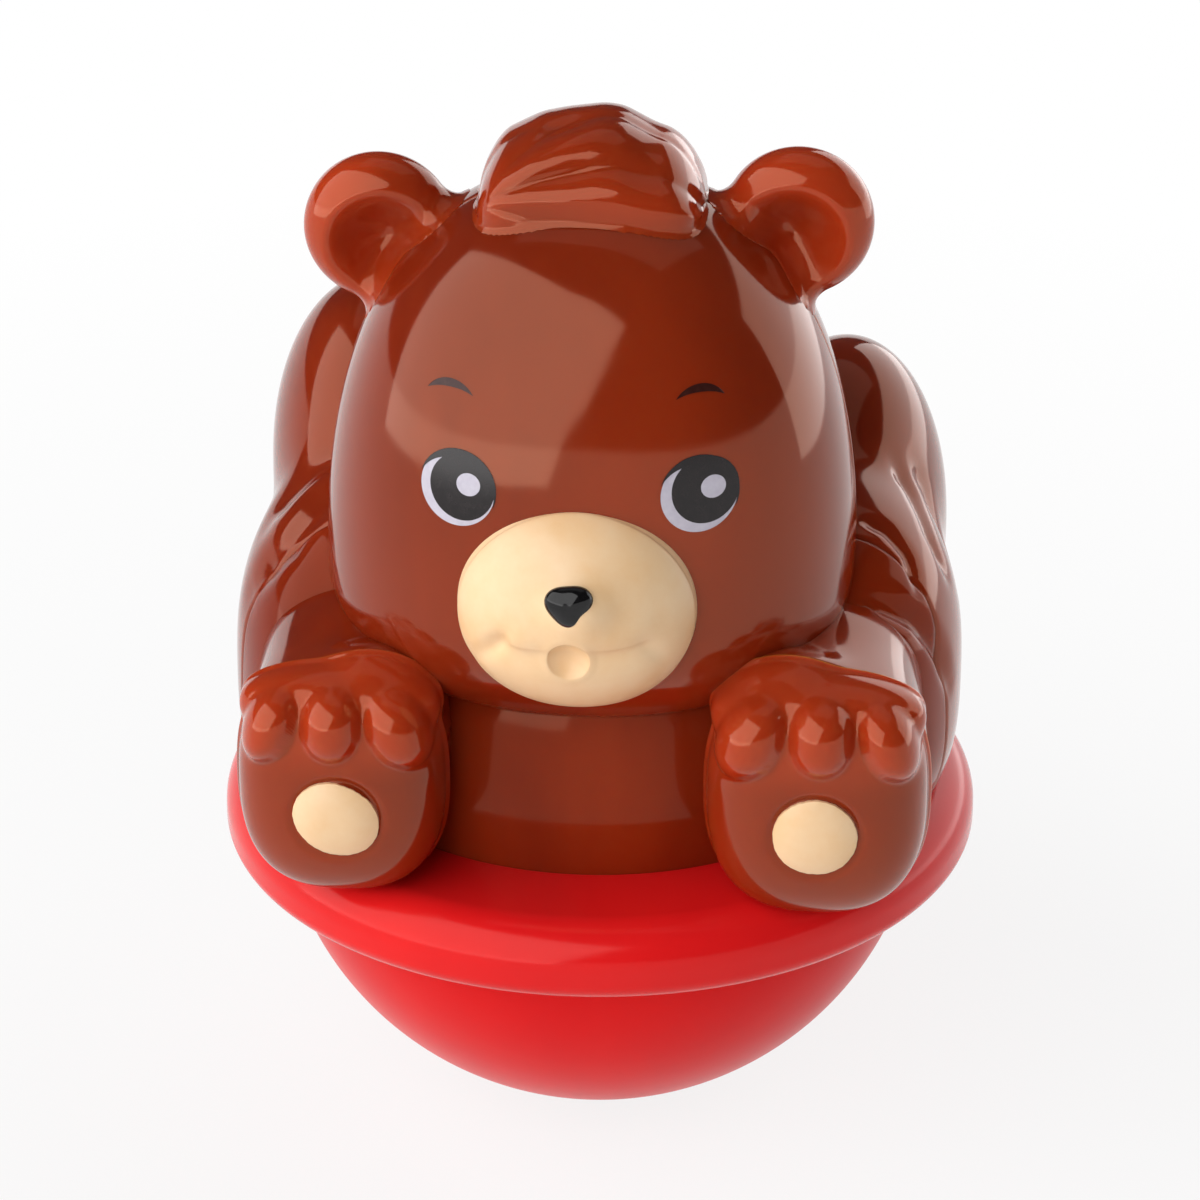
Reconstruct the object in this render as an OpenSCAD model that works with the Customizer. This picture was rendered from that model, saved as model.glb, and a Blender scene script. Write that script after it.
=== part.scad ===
// Roly-poly bear cub on a weighted bowl: moulded shells, ballast and an inner chime.
// The origin is the middle of the small flat under the bowl, +Z is up and the bear faces -Y.

/* [Bowl and rim] */
// Outside diameter of the rim
rim_d = 90; // [86:1:96]
// How far the rim stands out past the bowl
rim_out = 6; // [5:0.5:7]
// Wall of the bowl
bowl_wall = 2; // [1.6:0.1:2.6]
// Diameter of the small flat that the toy stands on
flat_d = 10; // [6:0.5:14]
// Straight lip of the bowl above the middle of its sphere
lip_h = 1.5; // [1:0.1:3]
// Height of the rim from its lower edge to the deck
rim_h = 8.6; // [7:0.1:11]
// Radius of the rounded top edge of the rim
rim_round = 5; // [3:0.1:5.5]
// Radius of the rounded lower edge of the rim
rim_edge = 2.2; // [1:0.1:2.8]
// Wall of the rim and thickness of the deck
deck_t = 2; // [1.6:0.1:2.6]
// Wall of the skirt that grips the bowl
skirt_t = 1.8; // [1.4:0.1:2.2]
// How far the snap bead stands out of the bowl
bead_r = 0.7; // [0.4:0.05:1]

/* [Ballast] */
// Free height between the plate over the iron weight and the chime
ballast_room = 2.7; // [2:0.1:6]
// Flat front of the weight, measured forward from the axis
ballast_front = 12.5; // [10:0.5:24]
// Distance between the two ballast posts
ballast_post_gap = 30; // [24:1:34]
// Thickness of the plate over the weight
ballast_cap_t = 1.6; // [1.2:0.1:2.4]

/* [Body] */
// Width of the barrel of the body
body_w = 70; // [66:1:74]
// Length of the barrel from chest to rump
body_len = 74; // [70:1:78]
// Top of the barrel above the deck
body_rise = 48; // [44:1:52]
// Height of the widest level of the barrel above the deck
body_belly = 10; // [6:1:14]
// How far the barrel sits behind the bowl's axis
body_back = 5; // [3:0.5:7]
// Wall of every body, limb and head shell
shell_wall = 2; // [1.6:0.1:2.4]
// Parting plane of the body and the head, in front of the bowl's axis
part_front = 12; // [10:0.5:14]
// Distance between the middles of the haunches
haunch_spread = 57; // [54:1:60]
// Width of a haunch
haunch_w = 24; // [22:1:26]
// Length of a haunch
haunch_len = 34; // [30:1:38]
// Height of a haunch
haunch_tall = 42; // [38:1:44]
// Middle of the haunches behind the bowl's axis
haunch_back = 17; // [14:1:20]
// Middle of the left haunch above the deck
haunch_rise_left = 32; // [22:0.5:33]
// Middle of the right haunch above the deck
haunch_rise_right = 25.5; // [22:0.5:33]
// Distance between the middles of the flanks
flank_spread = 58; // [55:1:60]
// Width of a flank
flank_w = 27; // [24:1:29]
// Length of a flank
flank_len = 40; // [36:1:44]
// Height of a flank
flank_tall = 40; // [36:1:44]
// Middle of the flanks in front of the bowl's axis
flank_front = 2; // [0:1:5]
// Middle of the flanks above the deck
flank_rise = 17; // [15:0.5:20]
// Distance between the middles of the hind feet
hind_spread = 67; // [62:1:70]
// Width of a hind foot
hind_w = 17; // [14:1:20]
// Length of a hind foot
hind_len = 32; // [26:1:36]
// Height of a hind foot
hind_tall = 24; // [20:1:28]
// Middle of the hind feet in front of the bowl's axis
hind_front = 3; // [0:1:6]
// Diameter of the stub tail
tail_d = 12; // [9:0.5:14]

/* [Arms and paws] */
// Distance between the middles of the arms
arm_spread = 52; // [50:1:56]
// Width of an arm
arm_w = 24; // [21:0.5:26]
// Length of an arm
arm_len = 44; // [38:1:48]
// Middle of the arms in front of the bowl's axis
arm_front = 14; // [11:1:17]
// Middle of the arms above the deck
arm_rise = 18; // [16:0.5:20]
// Distance between the middles of the paws
paw_spread = 53.5; // [51:0.5:56]
// Width of a paw
paw_w = 23.4; // [20:0.2:24]
// Height of a paw
paw_tall = 27.6; // [24:0.2:28]
// Size of the right paw as a share of the left one
right_paw_share = 1.06; // [1:0.01:1.1]
// Middle of a paw above the deck
paw_rise = 13.6; // [13:0.2:16]
// Seam between arm and palm in front of the bowl's axis
paw_front = 33; // [32:0.5:36]
// Depth of a palm in front of its seam
palm_deep = 8; // [7:0.2:9]
// Width of a toe
toe_w = 7.6; // [6:0.2:8.2]
// Spacing of the toes
toe_pitch = 7.2; // [6.8:0.1:7.6]
// Middle of the toes above the middle of the paw
toe_rise = 10; // [9:0.1:10.6]
// Diameter of a paw pad
pad_d = 9.4; // [8:0.2:10.4]
// How far a pad stands out of its palm at its middle
pad_dome = 0.9; // [0.5:0.1:1.4]
// Depth that a pad is let into its palm
pad_sink = 1; // [0.7:0.1:1.3]
// Middle of a pad below the middle of its paw
pad_drop = 2; // [1:0.2:4]

/* [Head] */
// Width of the head across the cheeks
head_w = 60.4; // [58:0.2:62]
// Widest level of the head above the deck
head_rise = 33; // [31:0.5:35]
// Crown above the widest level
crown_rise = 45; // [42:1:48]
// Chin below the widest level
chin_drop = 17; // [15.5:0.5:18]
// Face in front of the parting plane
face_deep = 26; // [24:0.5:28]
// Nape behind the parting plane
nape_deep = 25; // [22:0.5:27]
// Diameter of the neck post under the head
neck_d = 17.4; // [16:0.2:19]
// Diameter of an ear
ear_d = 17; // [14:0.5:19]
// Thickness of an ear
ear_t = 10; // [8:0.5:12]
// Middle of the left ear out from the middle of the head
ear_out_left = 24.2; // [22:0.2:26]
// Middle of the right ear out from the middle of the head
ear_out_right = 22.8; // [22:0.2:26]
// Middle of the left ear above the widest level of the head
ear_rise_left = 37.4; // [36:0.2:40]
// Middle of the right ear above the widest level of the head
ear_rise_right = 39.2; // [36:0.2:40]
// Middle of the ears behind the parting plane
ear_back = 3; // [0:0.5:6]
// Width of the hair tuft
tuft_w = 25; // [21:0.5:28]
// Length of the hair tuft from front to back
tuft_len = 20; // [17:0.5:23]
// Top of the tuft above the crown
tuft_rise = 7.5; // [6:0.5:9]
// Width of the muzzle
muzzle_w = 27.4; // [25:0.2:29]
// Height of the muzzle
muzzle_tall = 24.6; // [22:0.2:26]
// Muzzle in front of the face
muzzle_out = 6; // [4.5:0.2:7]
// Middle of the muzzle above the widest level of the head
muzzle_rise = 4; // [2:0.2:5.5]
// Width of the nose
nose_w = 5.2; // [4.4:0.1:6.4]
// Nose in front of the muzzle
nose_out = 1.2; // [0.8:0.1:1.8]

/* [Chime] */
// Outside diameter of the bell
bell_d = 18; // [17:0.5:20]
// Height of the bell
bell_h = 12.5; // [11:0.5:13.5]
// Wall of the bell
bell_t = 0.8; // [0.6:0.05:1]
// Diameter of the clapper's ball
ball_d = 5; // [4:0.25:5.5]
// Length of the clapper from its pin to the middle of the ball
clapper_len = 8; // [7:0.25:8.5]
// Diameter of the clapper's pin
pin_d = 1.2; // [1:0.1:1.4]

/* [Fasteners and fits] */
// Diameter of a screw's thread
screw_d = 2.4; // [2:0.1:2.8]
// Diameter of a screw's head
screw_head_d = 4.6; // [4:0.1:5.2]
// Length of a screw under its head
screw_len = 7; // [6:0.25:8]
// Gap round a screw or between the bowl and the skirt
fit_gap = 0.15; // [0.1:0.01:0.2]
// Gap between shells that are set against each other
seat_gap = 0.3; // [0.2:0.05:0.5]
// Running gap of the clapper on its pin
run_gap = 0.05; // [0.03:0.01:0.08]

/* [Hidden] */

// Facets of round pieces
$fn = 96;
// Counts of rays round and down each moulded form
head_rays = 40;
head_rows = 10;
body_rays = 32;
body_rows = 16;
limb_rays = 36;
limb_rows = 10;
small_rays = 28;
small_rows = 14;
// Halvings that find a blended surface along a ray
halvings = 16;
// Sharpness of the blend between the lumps of a form
body_blend = 9;
limb_blend = 12;
// Roundness powers of the moulded forms, where 2 is an ellipse
head_power = 2.3;
paw_power = 2.6;
ear_power = 2.2;
tuft_power = 2.4;
muzzle_power = 2.3;
nose_power = 2.2;
// Side of the bear, as seen from the front
left = -1;
right = 1;
// Half turns of the forms
front = -1;
back = 1;

// Overrun of every cut
over = bowl_wall;
rim_r = rim_d / 2;
bowl_r = rim_r - rim_out;
bowl_d = 2 * bowl_r;
bowl_in_r = bowl_r - bowl_wall;
bowl_mid_z = sqrt(pow(bowl_r, 2) - pow(flat_d / 2, 2));
deck_under_z = bowl_mid_z + lip_h;
deck_z = deck_under_z + deck_t;
rim_low_z = deck_z - rim_h;
bead_z = bowl_mid_z - bead_r;

// Sizes of the screws and of the bosses that take them
screw_r = screw_d / 2;
screw_hole_r = screw_r + fit_gap;
screw_head_r = screw_head_d / 2;
screw_head_share = 0.32;
screw_head_h = screw_head_d * screw_head_share;
screw_slot_shares = [0.7, 0.16, 0.4];
boss_wall = bowl_wall;
boss_r = screw_hole_r + boss_wall;
boss_h = screw_len;
boss_inset = 2 * boss_r;

// Middle of the body's rays, on the deck and in the parting plane
body_mid = [0, -part_front, deck_z];
// Boss places round the body, as directions in the deck's plane
chest_boss_turns = [-14, -166];
back_boss_turns = [62, 118];

// Head
head_mid = [0, -part_front, deck_z + head_rise];
chin_z = head_mid.z - chin_drop;
hanger_t = deck_t;
neck_r = neck_d / 2;
neck_collar_r = neck_r - boss_wall;
neck_flange_r = neck_r + boss_wall / 2;
neck_flange_t = shell_wall;
neck_foot_r = neck_r + 2 * boss_wall;
neck_foot_t = screw_len - deck_t - hanger_t + boss_wall;
neck_screw_ring = neck_foot_r - boss_r;
neck_screws = 3;
neck_lift_share = 0.55;

// Chime
hanger_z = deck_under_z - hanger_t;
hanger_r = neck_foot_r;
hanger_drop = 1.5 * bell_t + screw_head_h;
post_r = 2 * pin_d;
crown_z = hanger_z - hanger_drop;
washer_t = bell_t;
washer_r = 2 * post_r;
eye_r = 1.5 * pin_d;
eye_t = pin_d;
slot_w = eye_t + 2 * seat_gap;
pin_z = crown_z - bell_t - washer_t - eye_r - seat_gap;
post_end_z = pin_z - eye_r;
slot_h = pin_z + eye_r + seat_gap - post_end_z;
rod_r = pin_d / 2;
crown_r = washer_r + bell_t + 2 * seat_gap;
mouth_z = crown_z - bell_h;
clapper_low_z = pin_z - clapper_len - ball_d / 2;

// Ballast and its posts, under the chime
ballast_r = bowl_in_r - seat_gap;
ballast_cap_z = min(mouth_z, clapper_low_z) - ballast_room;
ballast_top_z = ballast_cap_z - ballast_cap_t;
ballast_top_r = sqrt(pow(ballast_r, 2) - pow(bowl_mid_z - ballast_top_z, 2));
ballast_hole_r = boss_r + seat_gap;
ballast_screw_z = ballast_cap_z - screw_len;

// A ray at angle t round the front or back axis and angle p away from it
function ray(s, t, p) = [-s * sin(p) * cos(t), s * cos(p), sin(p) * sin(t)];

// A lump is a middle and three half sizes: its value is 1 on its skin and less inside
function lump_value(p, lump) = norm([for (i = [0:2]) (p[i] - lump[0][i]) / lump[1][i]]);

// Lumps melted into one form, sharper with a larger blend
function blend_value(p, lumps, k) =
  pow([for (l = lumps) pow(lump_value(p, l), -k)] * [for (l = lumps) 1], -1 / k);

// Distance from c along d at which a value grows past 1, by halving
function skin_at(c, d, value, near, far, n) =
  let (mid = (near + far) / 2)
  n == 0 ? mid
  : value(c + mid * d) < 1 ? skin_at(c, d, value, mid, far, n - 1)
  : skin_at(c, d, value, near, mid, n - 1);

// Radius of a form with half sizes a, rounded by a power
function rounded_reach(d, a, k) =
  pow(pow(abs(d.x) / a.x, k) + pow(abs(d.y) / a.y, k) + pow(abs(d.z) / a.z, k), -1 / k);

// Lumps of the body: barrel, two haunches, two flanks, two hind feet and the tail
hind_rise_share = 0.33;
haunch_half = [haunch_w, haunch_len, haunch_tall] / 2;
flank_half = [flank_w, flank_len, flank_tall] / 2;
hind_half = [hind_w, hind_len, hind_tall] / 2;
hind_z = deck_z + hind_tall * hind_rise_share;
body_lumps = [
  [[0, body_back, deck_z + body_belly], [body_w / 2, body_len / 2, body_rise - body_belly]],
  [[left * haunch_spread / 2, haunch_back, deck_z + haunch_rise_left], haunch_half],
  [[right * haunch_spread / 2, haunch_back, deck_z + haunch_rise_right], haunch_half],
  [[left * flank_spread / 2, -flank_front, deck_z + flank_rise], flank_half],
  [[right * flank_spread / 2, -flank_front, deck_z + flank_rise], flank_half],
  [[left * hind_spread / 2, -hind_front, hind_z], hind_half],
  [[right * hind_spread / 2, -hind_front, hind_z], hind_half],
  [[0, body_back + body_len / 2, deck_z + body_belly + tail_d / 2], [tail_d, tail_d, tail_d] / 2]];
function body_value(p) = blend_value(p, body_lumps, body_blend);
function body_reach(d) = skin_at(body_mid, d, function (p) body_value(p), 0, body_len, halvings);

// The head is rounded, deeper in front and taller above its widest level
function head_half_sizes(d) = [head_w / 2, d.y < 0 ? face_deep : nape_deep, d.z < 0 ? chin_drop : crown_rise];
function head_reach(d) = rounded_reach(d, head_half_sizes(d), head_power);

// An arm with its paw and toes, as one form cut at the palm's seam
function paw_mid(side) = [side * paw_spread / 2, -paw_front, deck_z + paw_rise];
function paw_share(side) = side == right ? right_paw_share : 1;
// Places of the three toes in shares of palm depth and toe height, and their half sizes in shares of width
toe_out_shares = [0.5, 0.62, 0.5];
toe_rise_shares = [0.93, 1, 0.93];
toe_size_shares = [0.5, 0.65, 0.55];
function toe_lumps(side) = [for (i = [0:2])
  [paw_mid(side) + paw_share(side)
      * [(i - 1) * toe_pitch, -palm_deep * toe_out_shares[i], toe_rise * toe_rise_shares[i]],
    paw_share(side) * toe_w * toe_size_shares]];
function arm_lumps(side) = [
  [[side * arm_spread / 2, -arm_front, deck_z + arm_rise], [arm_w, arm_len, arm_w] / 2]];
function palm_value(p, side) =
  1 / paw_share(side) / rounded_reach(p - paw_mid(side), [paw_w / 2, palm_deep, paw_tall / 2], paw_power);
function wrist_value(p, side) =
  1 / paw_share(side) / rounded_reach(p - paw_mid(side), [paw_w / 2, arm_len / 2, paw_tall / 2], paw_power);
function limb_value(p, side) =
  p.y <= -paw_front
  ? pow(pow(palm_value(p, side), -limb_blend) + pow(blend_value(p, toe_lumps(side), limb_blend), -limb_blend),
    -1 / limb_blend)
  : pow(pow(wrist_value(p, side), -limb_blend) + pow(blend_value(p, arm_lumps(side), limb_blend), -limb_blend),
    -1 / limb_blend);
function limb_reach(d, side) =
  skin_at(paw_mid(side), d, function (p) limb_value(p, side), 0, arm_len, halvings);

// Points of a cap: its tip, then rows of rays out to the parting plane
function cap_points(c, s, reach, turn, rays, rows, inset) =
  let (cols = turn == 360 ? rays : rays + 1)
  concat([c + (reach(ray(s, 0, 0)) - inset) * ray(s, 0, 0)],
    [for (i = [1:rows], j = [0:cols - 1]) let (d = ray(s, turn * j / rays, 90 * i / rows))
      c + (reach(d) - inset) * d]);

// Faces of a cap, as a shell with an inner skin or as a solid closed to its middle
function cap_faces(turn, rays, rows, solid) =
  let (cols = turn == 360 ? rays : rays + 1,
    inner = 1 + rows * cols,
    o = function (i, j) i == 0 ? 0 : 1 + (i - 1) * cols + j % cols,
    q = function (i, j) solid ? inner : i == 0 ? inner : inner + 1 + (i - 1) * cols + j % cols)
  concat(
    [for (j = [0:rays - 1]) [o(0, 0), o(1, j + 1), o(1, j)]],
    [for (i = [1:rows - 1], j = [0:rays - 1]) each
      [[o(i, j), o(i, j + 1), o(i + 1, j + 1)], [o(i, j), o(i + 1, j + 1), o(i + 1, j)]]],
    solid ? [] : [for (j = [0:rays - 1]) [q(0, 0), q(1, j), q(1, j + 1)]],
    solid ? [] : [for (i = [1:rows - 1], j = [0:rays - 1]) each
      [[q(i, j), q(i + 1, j + 1), q(i, j + 1)], [q(i, j), q(i + 1, j), q(i + 1, j + 1)]]],
    [for (j = [0:rays - 1]) each cap_edge(o(rows, j), o(rows, j + 1), q(rows, j + 1), q(rows, j), solid)],
    turn == 360 ? [] : [for (i = [0:rows - 1]) each
      concat(cap_edge(o(i, 0), o(i + 1, 0), q(i + 1, 0), q(i, 0), solid),
        cap_edge(o(i + 1, rays), o(i, rays), q(i, rays), q(i + 1, rays), solid))]);
function cap_edge(a, b, c, d, solid) = solid ? [[a, b, c]] : [[a, b, c], [a, c, d]];

// A moulded shell, and the full solid that it would leave as an impression
module cap_shell(c, s, reach, turn, rays, rows, wall) {
  outer = cap_points(c, s, reach, turn, rays, rows, 0);
  inner = cap_points(c, s, reach, turn, rays, rows, wall);
  polyhedron(concat(outer, inner), cap_faces(turn, rays, rows, false));
}
module cap_solid(c, s, reach, turn, rays, rows, grow) {
  outer = cap_points(c, s, reach, turn, rays, rows, -grow);
  polyhedron(concat(outer, [c]), cap_faces(turn, rays, rows, true));
}

// A closed form with a ray in every direction
module ball_form(c, reach, rays, rows) {
  end = 1 + (rows - 1) * rays;
  points = concat([c + reach(ray(front, 0, 0)) * ray(front, 0, 0)],
    [for (i = [1:rows - 1], j = [0:rays - 1]) let (d = ray(front, 360 * j / rays, 180 * i / rows))
      c + reach(d) * d],
    [c + reach(ray(front, 0, 180)) * ray(front, 0, 180)]);
  at = function (i, j) 1 + (i - 1) * rays + j % rays;
  faces = concat(
    [for (j = [0:rays - 1]) [0, at(1, j + 1), at(1, j)]],
    [for (i = [1:rows - 2], j = [0:rays - 1]) each
      [[at(i, j), at(i, j + 1), at(i + 1, j + 1)], [at(i, j), at(i + 1, j + 1), at(i + 1, j)]]],
    [for (j = [0:rays - 1]) [end, at(rows - 1, j), at(rows - 1, j + 1)]]);
  polyhedron(points, faces);
}

// Impressions that neighbours are cut by
module head_impression(grow) {
  for (s = [front, back]) cap_solid(head_mid, s, function (d) head_reach(d), 360, head_rays, head_rows, grow);
}
module body_impression(grow) {
  for (s = [front, back]) cap_solid(body_mid, s, function (d) body_reach(d), 180, body_rays, body_rows, grow);
}

module rim_impression(grow) {
  rotate_extrude() rim_outline(rim_r + grow, deck_z + grow, rim_round + grow);
}

// A screw with its head down at z = 0 and its thread up
module screw() {
  slot = screw_slot_shares * screw_head_d;
  difference() {
    union() {
      translate([0, 0, -screw_head_h]) cylinder(r = screw_head_r, h = screw_head_h);
      cylinder(r = screw_r, h = screw_len);
    }
    for (turn = [0, 90]) rotate(turn) translate([0, 0, -screw_head_h])
      cube([slot.x, slot.y, slot.z * screw_head_h], center = true);
  }
}

// Places of the screws: a body boss stands clear of the shell's wall and over the bore of the bowl
function turn_ray(turn) = [cos(turn), sin(turn), 0];
function bore_reach(d) =
  let (along = body_mid.y * d.y)
  sqrt(pow(along, 2) - pow(body_mid.y, 2) + pow(bowl_in_r - screw_head_r - seat_gap, 2)) - along;
function boss_reach(d) = min(body_reach(d) - shell_wall - boss_inset, bore_reach(d));
function boss_place(turn) = body_mid + boss_reach(turn_ray(turn)) * turn_ray(turn);
function neck_place(i) = [0, -part_front, 0] + neck_screw_ring * turn_ray(360 * i / neck_screws + 90);
function ballast_place(side) = [side * ballast_post_gap / 2, 0, 0];

// Bowl
module base_bowl() {
  color("crimson") difference() {
    union() {
      rotate_extrude() bowl_outline();
      for (side = [left, right]) intersection() {
        translate(ballast_place(side)) cylinder(r = boss_r, h = ballast_top_z);
        translate([0, 0, bowl_mid_z]) sphere(r = bowl_r - bowl_wall / 2);
      }
    }
    for (side = [left, right]) translate(ballast_place(side) + [0, 0, ballast_screw_z])
      cylinder(r = screw_r, h = screw_len);
  }
}
module bowl_outline() {
  difference() {
    union() {
      intersection() {
        translate([0, bowl_mid_z]) circle(r = bowl_r);
        square([bowl_r, bowl_mid_z]);
      }
      translate([bowl_in_r, bowl_mid_z]) square([bowl_wall, lip_h]);
      intersection() {
        translate([bowl_r - bead_r / 2, bead_z]) circle(r = bead_r + bead_r / 2);
        translate([bowl_in_r, 0]) square([bowl_r, deck_under_z]);
      }
    }
    intersection() {
      translate([0, bowl_mid_z]) circle(r = bowl_in_r);
      square([bowl_r, bowl_mid_z]);
    }
    translate([0, bowl_mid_z]) square([bowl_in_r, lip_h + over]);
  }
}

// Rim with its deck
module rim_outline(r, top, round) {
  shoulder = top - round;
  translate([0, rim_low_z + rim_edge]) square([r, shoulder - rim_low_z - rim_edge]);
  translate([0, rim_low_z]) square([r - rim_edge, shoulder - rim_low_z]);
  translate([r - rim_edge, rim_low_z + rim_edge]) circle(r = rim_edge);
  translate([0, shoulder]) square([r - round, round]);
  intersection() {
    translate([r - round, shoulder]) circle(r = round);
    translate([0, shoulder]) square([r, round]);
  }
}
module rim_channel() {
  r = rim_r - deck_t;
  round = rim_round - deck_t / 2;
  top = deck_z - deck_t;
  inside = bowl_r + fit_gap + skirt_t;
  translate([inside, rim_low_z - over]) square([r - inside, top - round - rim_low_z + over]);
  intersection() {
    translate([r - round, top - round]) circle(r = round);
    translate([inside, rim_low_z]) square([r, rim_h]);
  }
}
module base_rim() {
  color("crimson") difference() {
    rotate_extrude() difference() {
      rim_outline(rim_r, deck_z, rim_round);
      translate([0, rim_low_z - over]) square([bowl_r + fit_gap, deck_under_z - rim_low_z + over]);
      translate([bowl_r - bead_r / 2, bead_z]) circle(r = bead_r + bead_r / 2 + fit_gap);
      rim_channel();
    }
    for (turn = concat(chest_boss_turns, back_boss_turns))
      translate([boss_place(turn).x, boss_place(turn).y, deck_under_z - over])
        cylinder(r = screw_hole_r, h = deck_t + 2 * over);
    for (i = [1:neck_screws]) translate(neck_place(i) + [0, 0, deck_under_z - over])
      cylinder(r = screw_hole_r, h = deck_t + 2 * over);
  }
}

// Iron weight with a flat front, two holes for the posts and a plate over it
module ballast_weight() {
  color("dimgray") difference() {
    intersection() {
      translate([0, 0, bowl_mid_z]) sphere(r = ballast_r);
      translate([-bowl_r, -ballast_front, 0]) cube([bowl_d, bowl_d, ballast_top_z]);
    }
    for (side = [left, right]) translate(ballast_place(side)) cylinder(r = ballast_hole_r, h = bowl_d);
  }
}
module ballast_cap() {
  color("gray") translate([0, 0, ballast_top_z]) difference() {
    intersection() {
      cylinder(r = ballast_top_r - seat_gap, h = ballast_cap_t);
      translate([-bowl_r, -ballast_front, 0]) cube([bowl_d, bowl_d, ballast_cap_t]);
    }
    for (side = [left, right]) translate(ballast_place(side) - [0, 0, over])
      cylinder(r = screw_hole_r, h = ballast_cap_t + 2 * over);
  }
}
module ballast_screws() {
  color("silver") for (side = [left, right]) translate(ballast_place(side) + [0, 0, ballast_cap_z])
    mirror([0, 0, 1]) screw();
}

// Body shells with the bosses that stand on the deck
module body_half(s, turns) {
  difference() {
    union() {
      cap_shell(body_mid, s, function (d) body_reach(d), 180, body_rays, body_rows, shell_wall);
      for (turn = turns) translate(boss_place(turn)) {
        web = body_reach(turn_ray(turn)) - boss_reach(turn_ray(turn)) - shell_wall / 2;
        cylinder(r = boss_r, h = boss_h);
        rotate(turn) translate([0, -shell_wall / 2, 0]) cube([web, shell_wall, boss_h]);
      }
    }
    for (turn = turns) translate(boss_place(turn) - [0, 0, over]) cylinder(r = screw_r, h = boss_h + over);
    head_impression(seat_gap);
  }
}
module chest_shell() {
  color("saddlebrown") body_half(front, chest_boss_turns);
}
module back_shell() {
  color("saddlebrown") body_half(back, back_boss_turns);
}
module body_screws() {
  color("silver") for (turn = concat(chest_boss_turns, back_boss_turns))
    translate([boss_place(turn).x, boss_place(turn).y, deck_under_z]) screw();
}

// Post that the halves of the head close round
module neck_post() {
  lift = chin_z + shell_wall * (1 + neck_lift_share);
  color("saddlebrown") difference() {
    translate([0, -part_front, 0]) rotate_extrude() {
      translate([0, deck_z]) square([neck_foot_r, neck_foot_t]);
      translate([0, deck_z]) square([neck_r, chin_z - deck_z - seat_gap / 2]);
      translate([0, deck_z]) square([neck_collar_r, lift - deck_z]);
      translate([0, lift]) square([neck_flange_r, neck_flange_t]);
    }
    for (i = [1:neck_screws]) translate(neck_place(i) + [0, 0, deck_z - over])
      cylinder(r = screw_r, h = screw_len + over);
  }
}
module deck_screws() {
  color("silver") for (i = [1:neck_screws]) translate(neck_place(i) + [0, 0, hanger_z]) screw();
}

// Arms, palms and pads
module arm(side) {
  color("saddlebrown") difference() {
    cap_shell(paw_mid(side), back, function (d) limb_reach(d, side), 360, limb_rays, limb_rows, shell_wall);
    body_impression(seat_gap);
    head_impression(seat_gap);
    rim_impression(seat_gap);
  }
}
function pad_y(side) =
  let (from = paw_mid(side) - [0, 0, pad_drop])
  -skin_at(from, [0, -1, 0], function (p) limb_value(p, side), 0, arm_len, halvings);
module palm(side) {
  color("saddlebrown") difference() {
    cap_shell(paw_mid(side), front, function (d) limb_reach(d, side), 360, limb_rays, limb_rows, shell_wall);
    translate(paw_mid(side) + [0, pad_y(side) + pad_sink, -pad_drop]) rotate([90, 0, 0])
      cylinder(r = pad_d / 2 + seat_gap / 2, h = pad_sink + over);
    rim_impression(seat_gap);
  }
}
module paw_pad(side) {
  cap_r = (pow(pad_d / 2, 2) + pow(pad_dome, 2)) / (2 * pad_dome);
  color("moccasin") translate(paw_mid(side) + [0, pad_y(side) + pad_sink, -pad_drop]) rotate([90, 0, 0])
    intersection() {
      cylinder(r = pad_d / 2, h = pad_sink + pad_dome);
      translate([0, 0, pad_sink + pad_dome - cap_r]) sphere(r = cap_r);
    }
}
module left_arm() { arm(left); }
module right_arm() { arm(right); }
module left_palm() { palm(left); }
module right_palm() { palm(right); }
module left_paw_pad() { paw_pad(left); }
module right_paw_pad() { paw_pad(right); }

// Head shells with a hole for the post under the chin
module head_half(s) {
  color("saddlebrown") difference() {
    cap_shell(head_mid, s, function (d) head_reach(d), 360, head_rays, head_rows, shell_wall);
    translate([0, -part_front, deck_z]) cylinder(r = neck_collar_r + seat_gap, h = head_rise);
  }
}
module face_shell() { head_half(front); }
module head_back_shell() { head_half(back); }

// Ears with a dished front
ear_dish_share = 0.5;
ear_dish_angle = 38;
function ear_mid(side) = head_mid
  + (side == left ? [-ear_out_left, ear_back, ear_rise_left] : [ear_out_right, ear_back, ear_rise_right]);
function ear_reach(d) =
  let (away = acos(-d.y), dish = ear_dish_share * exp(-pow(away / ear_dish_angle, 2)))
  rounded_reach(d, [ear_d, ear_t, ear_d] / 2, ear_power) * (1 - dish);
module ear(side) {
  color("saddlebrown") difference() {
    ball_form(ear_mid(side), function (d) ear_reach(d), small_rays, small_rows);
    head_impression(seat_gap / 2);
  }
}
module left_ear() { ear(left); }
module right_ear() { ear(right); }

// Tuft of hair in swept ridges
tuft_ridges = 7;
tuft_ridge_share = 0.05;
tuft_root = tuft_rise / 3;
tuft_mid = head_mid + [0, 0, crown_rise - tuft_root];
function tuft_reach(d) =
  rounded_reach(d, [tuft_w / 2, tuft_len / 2, tuft_rise + tuft_root], tuft_power)
  * (1 + tuft_ridge_share * cos(tuft_ridges * atan2(d.x, d.z)));
module hair_tuft() {
  color("saddlebrown") difference() {
    ball_form(tuft_mid, function (d) tuft_reach(d), limb_rays, small_rows);
    head_impression(seat_gap / 2);
  }
}

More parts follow.
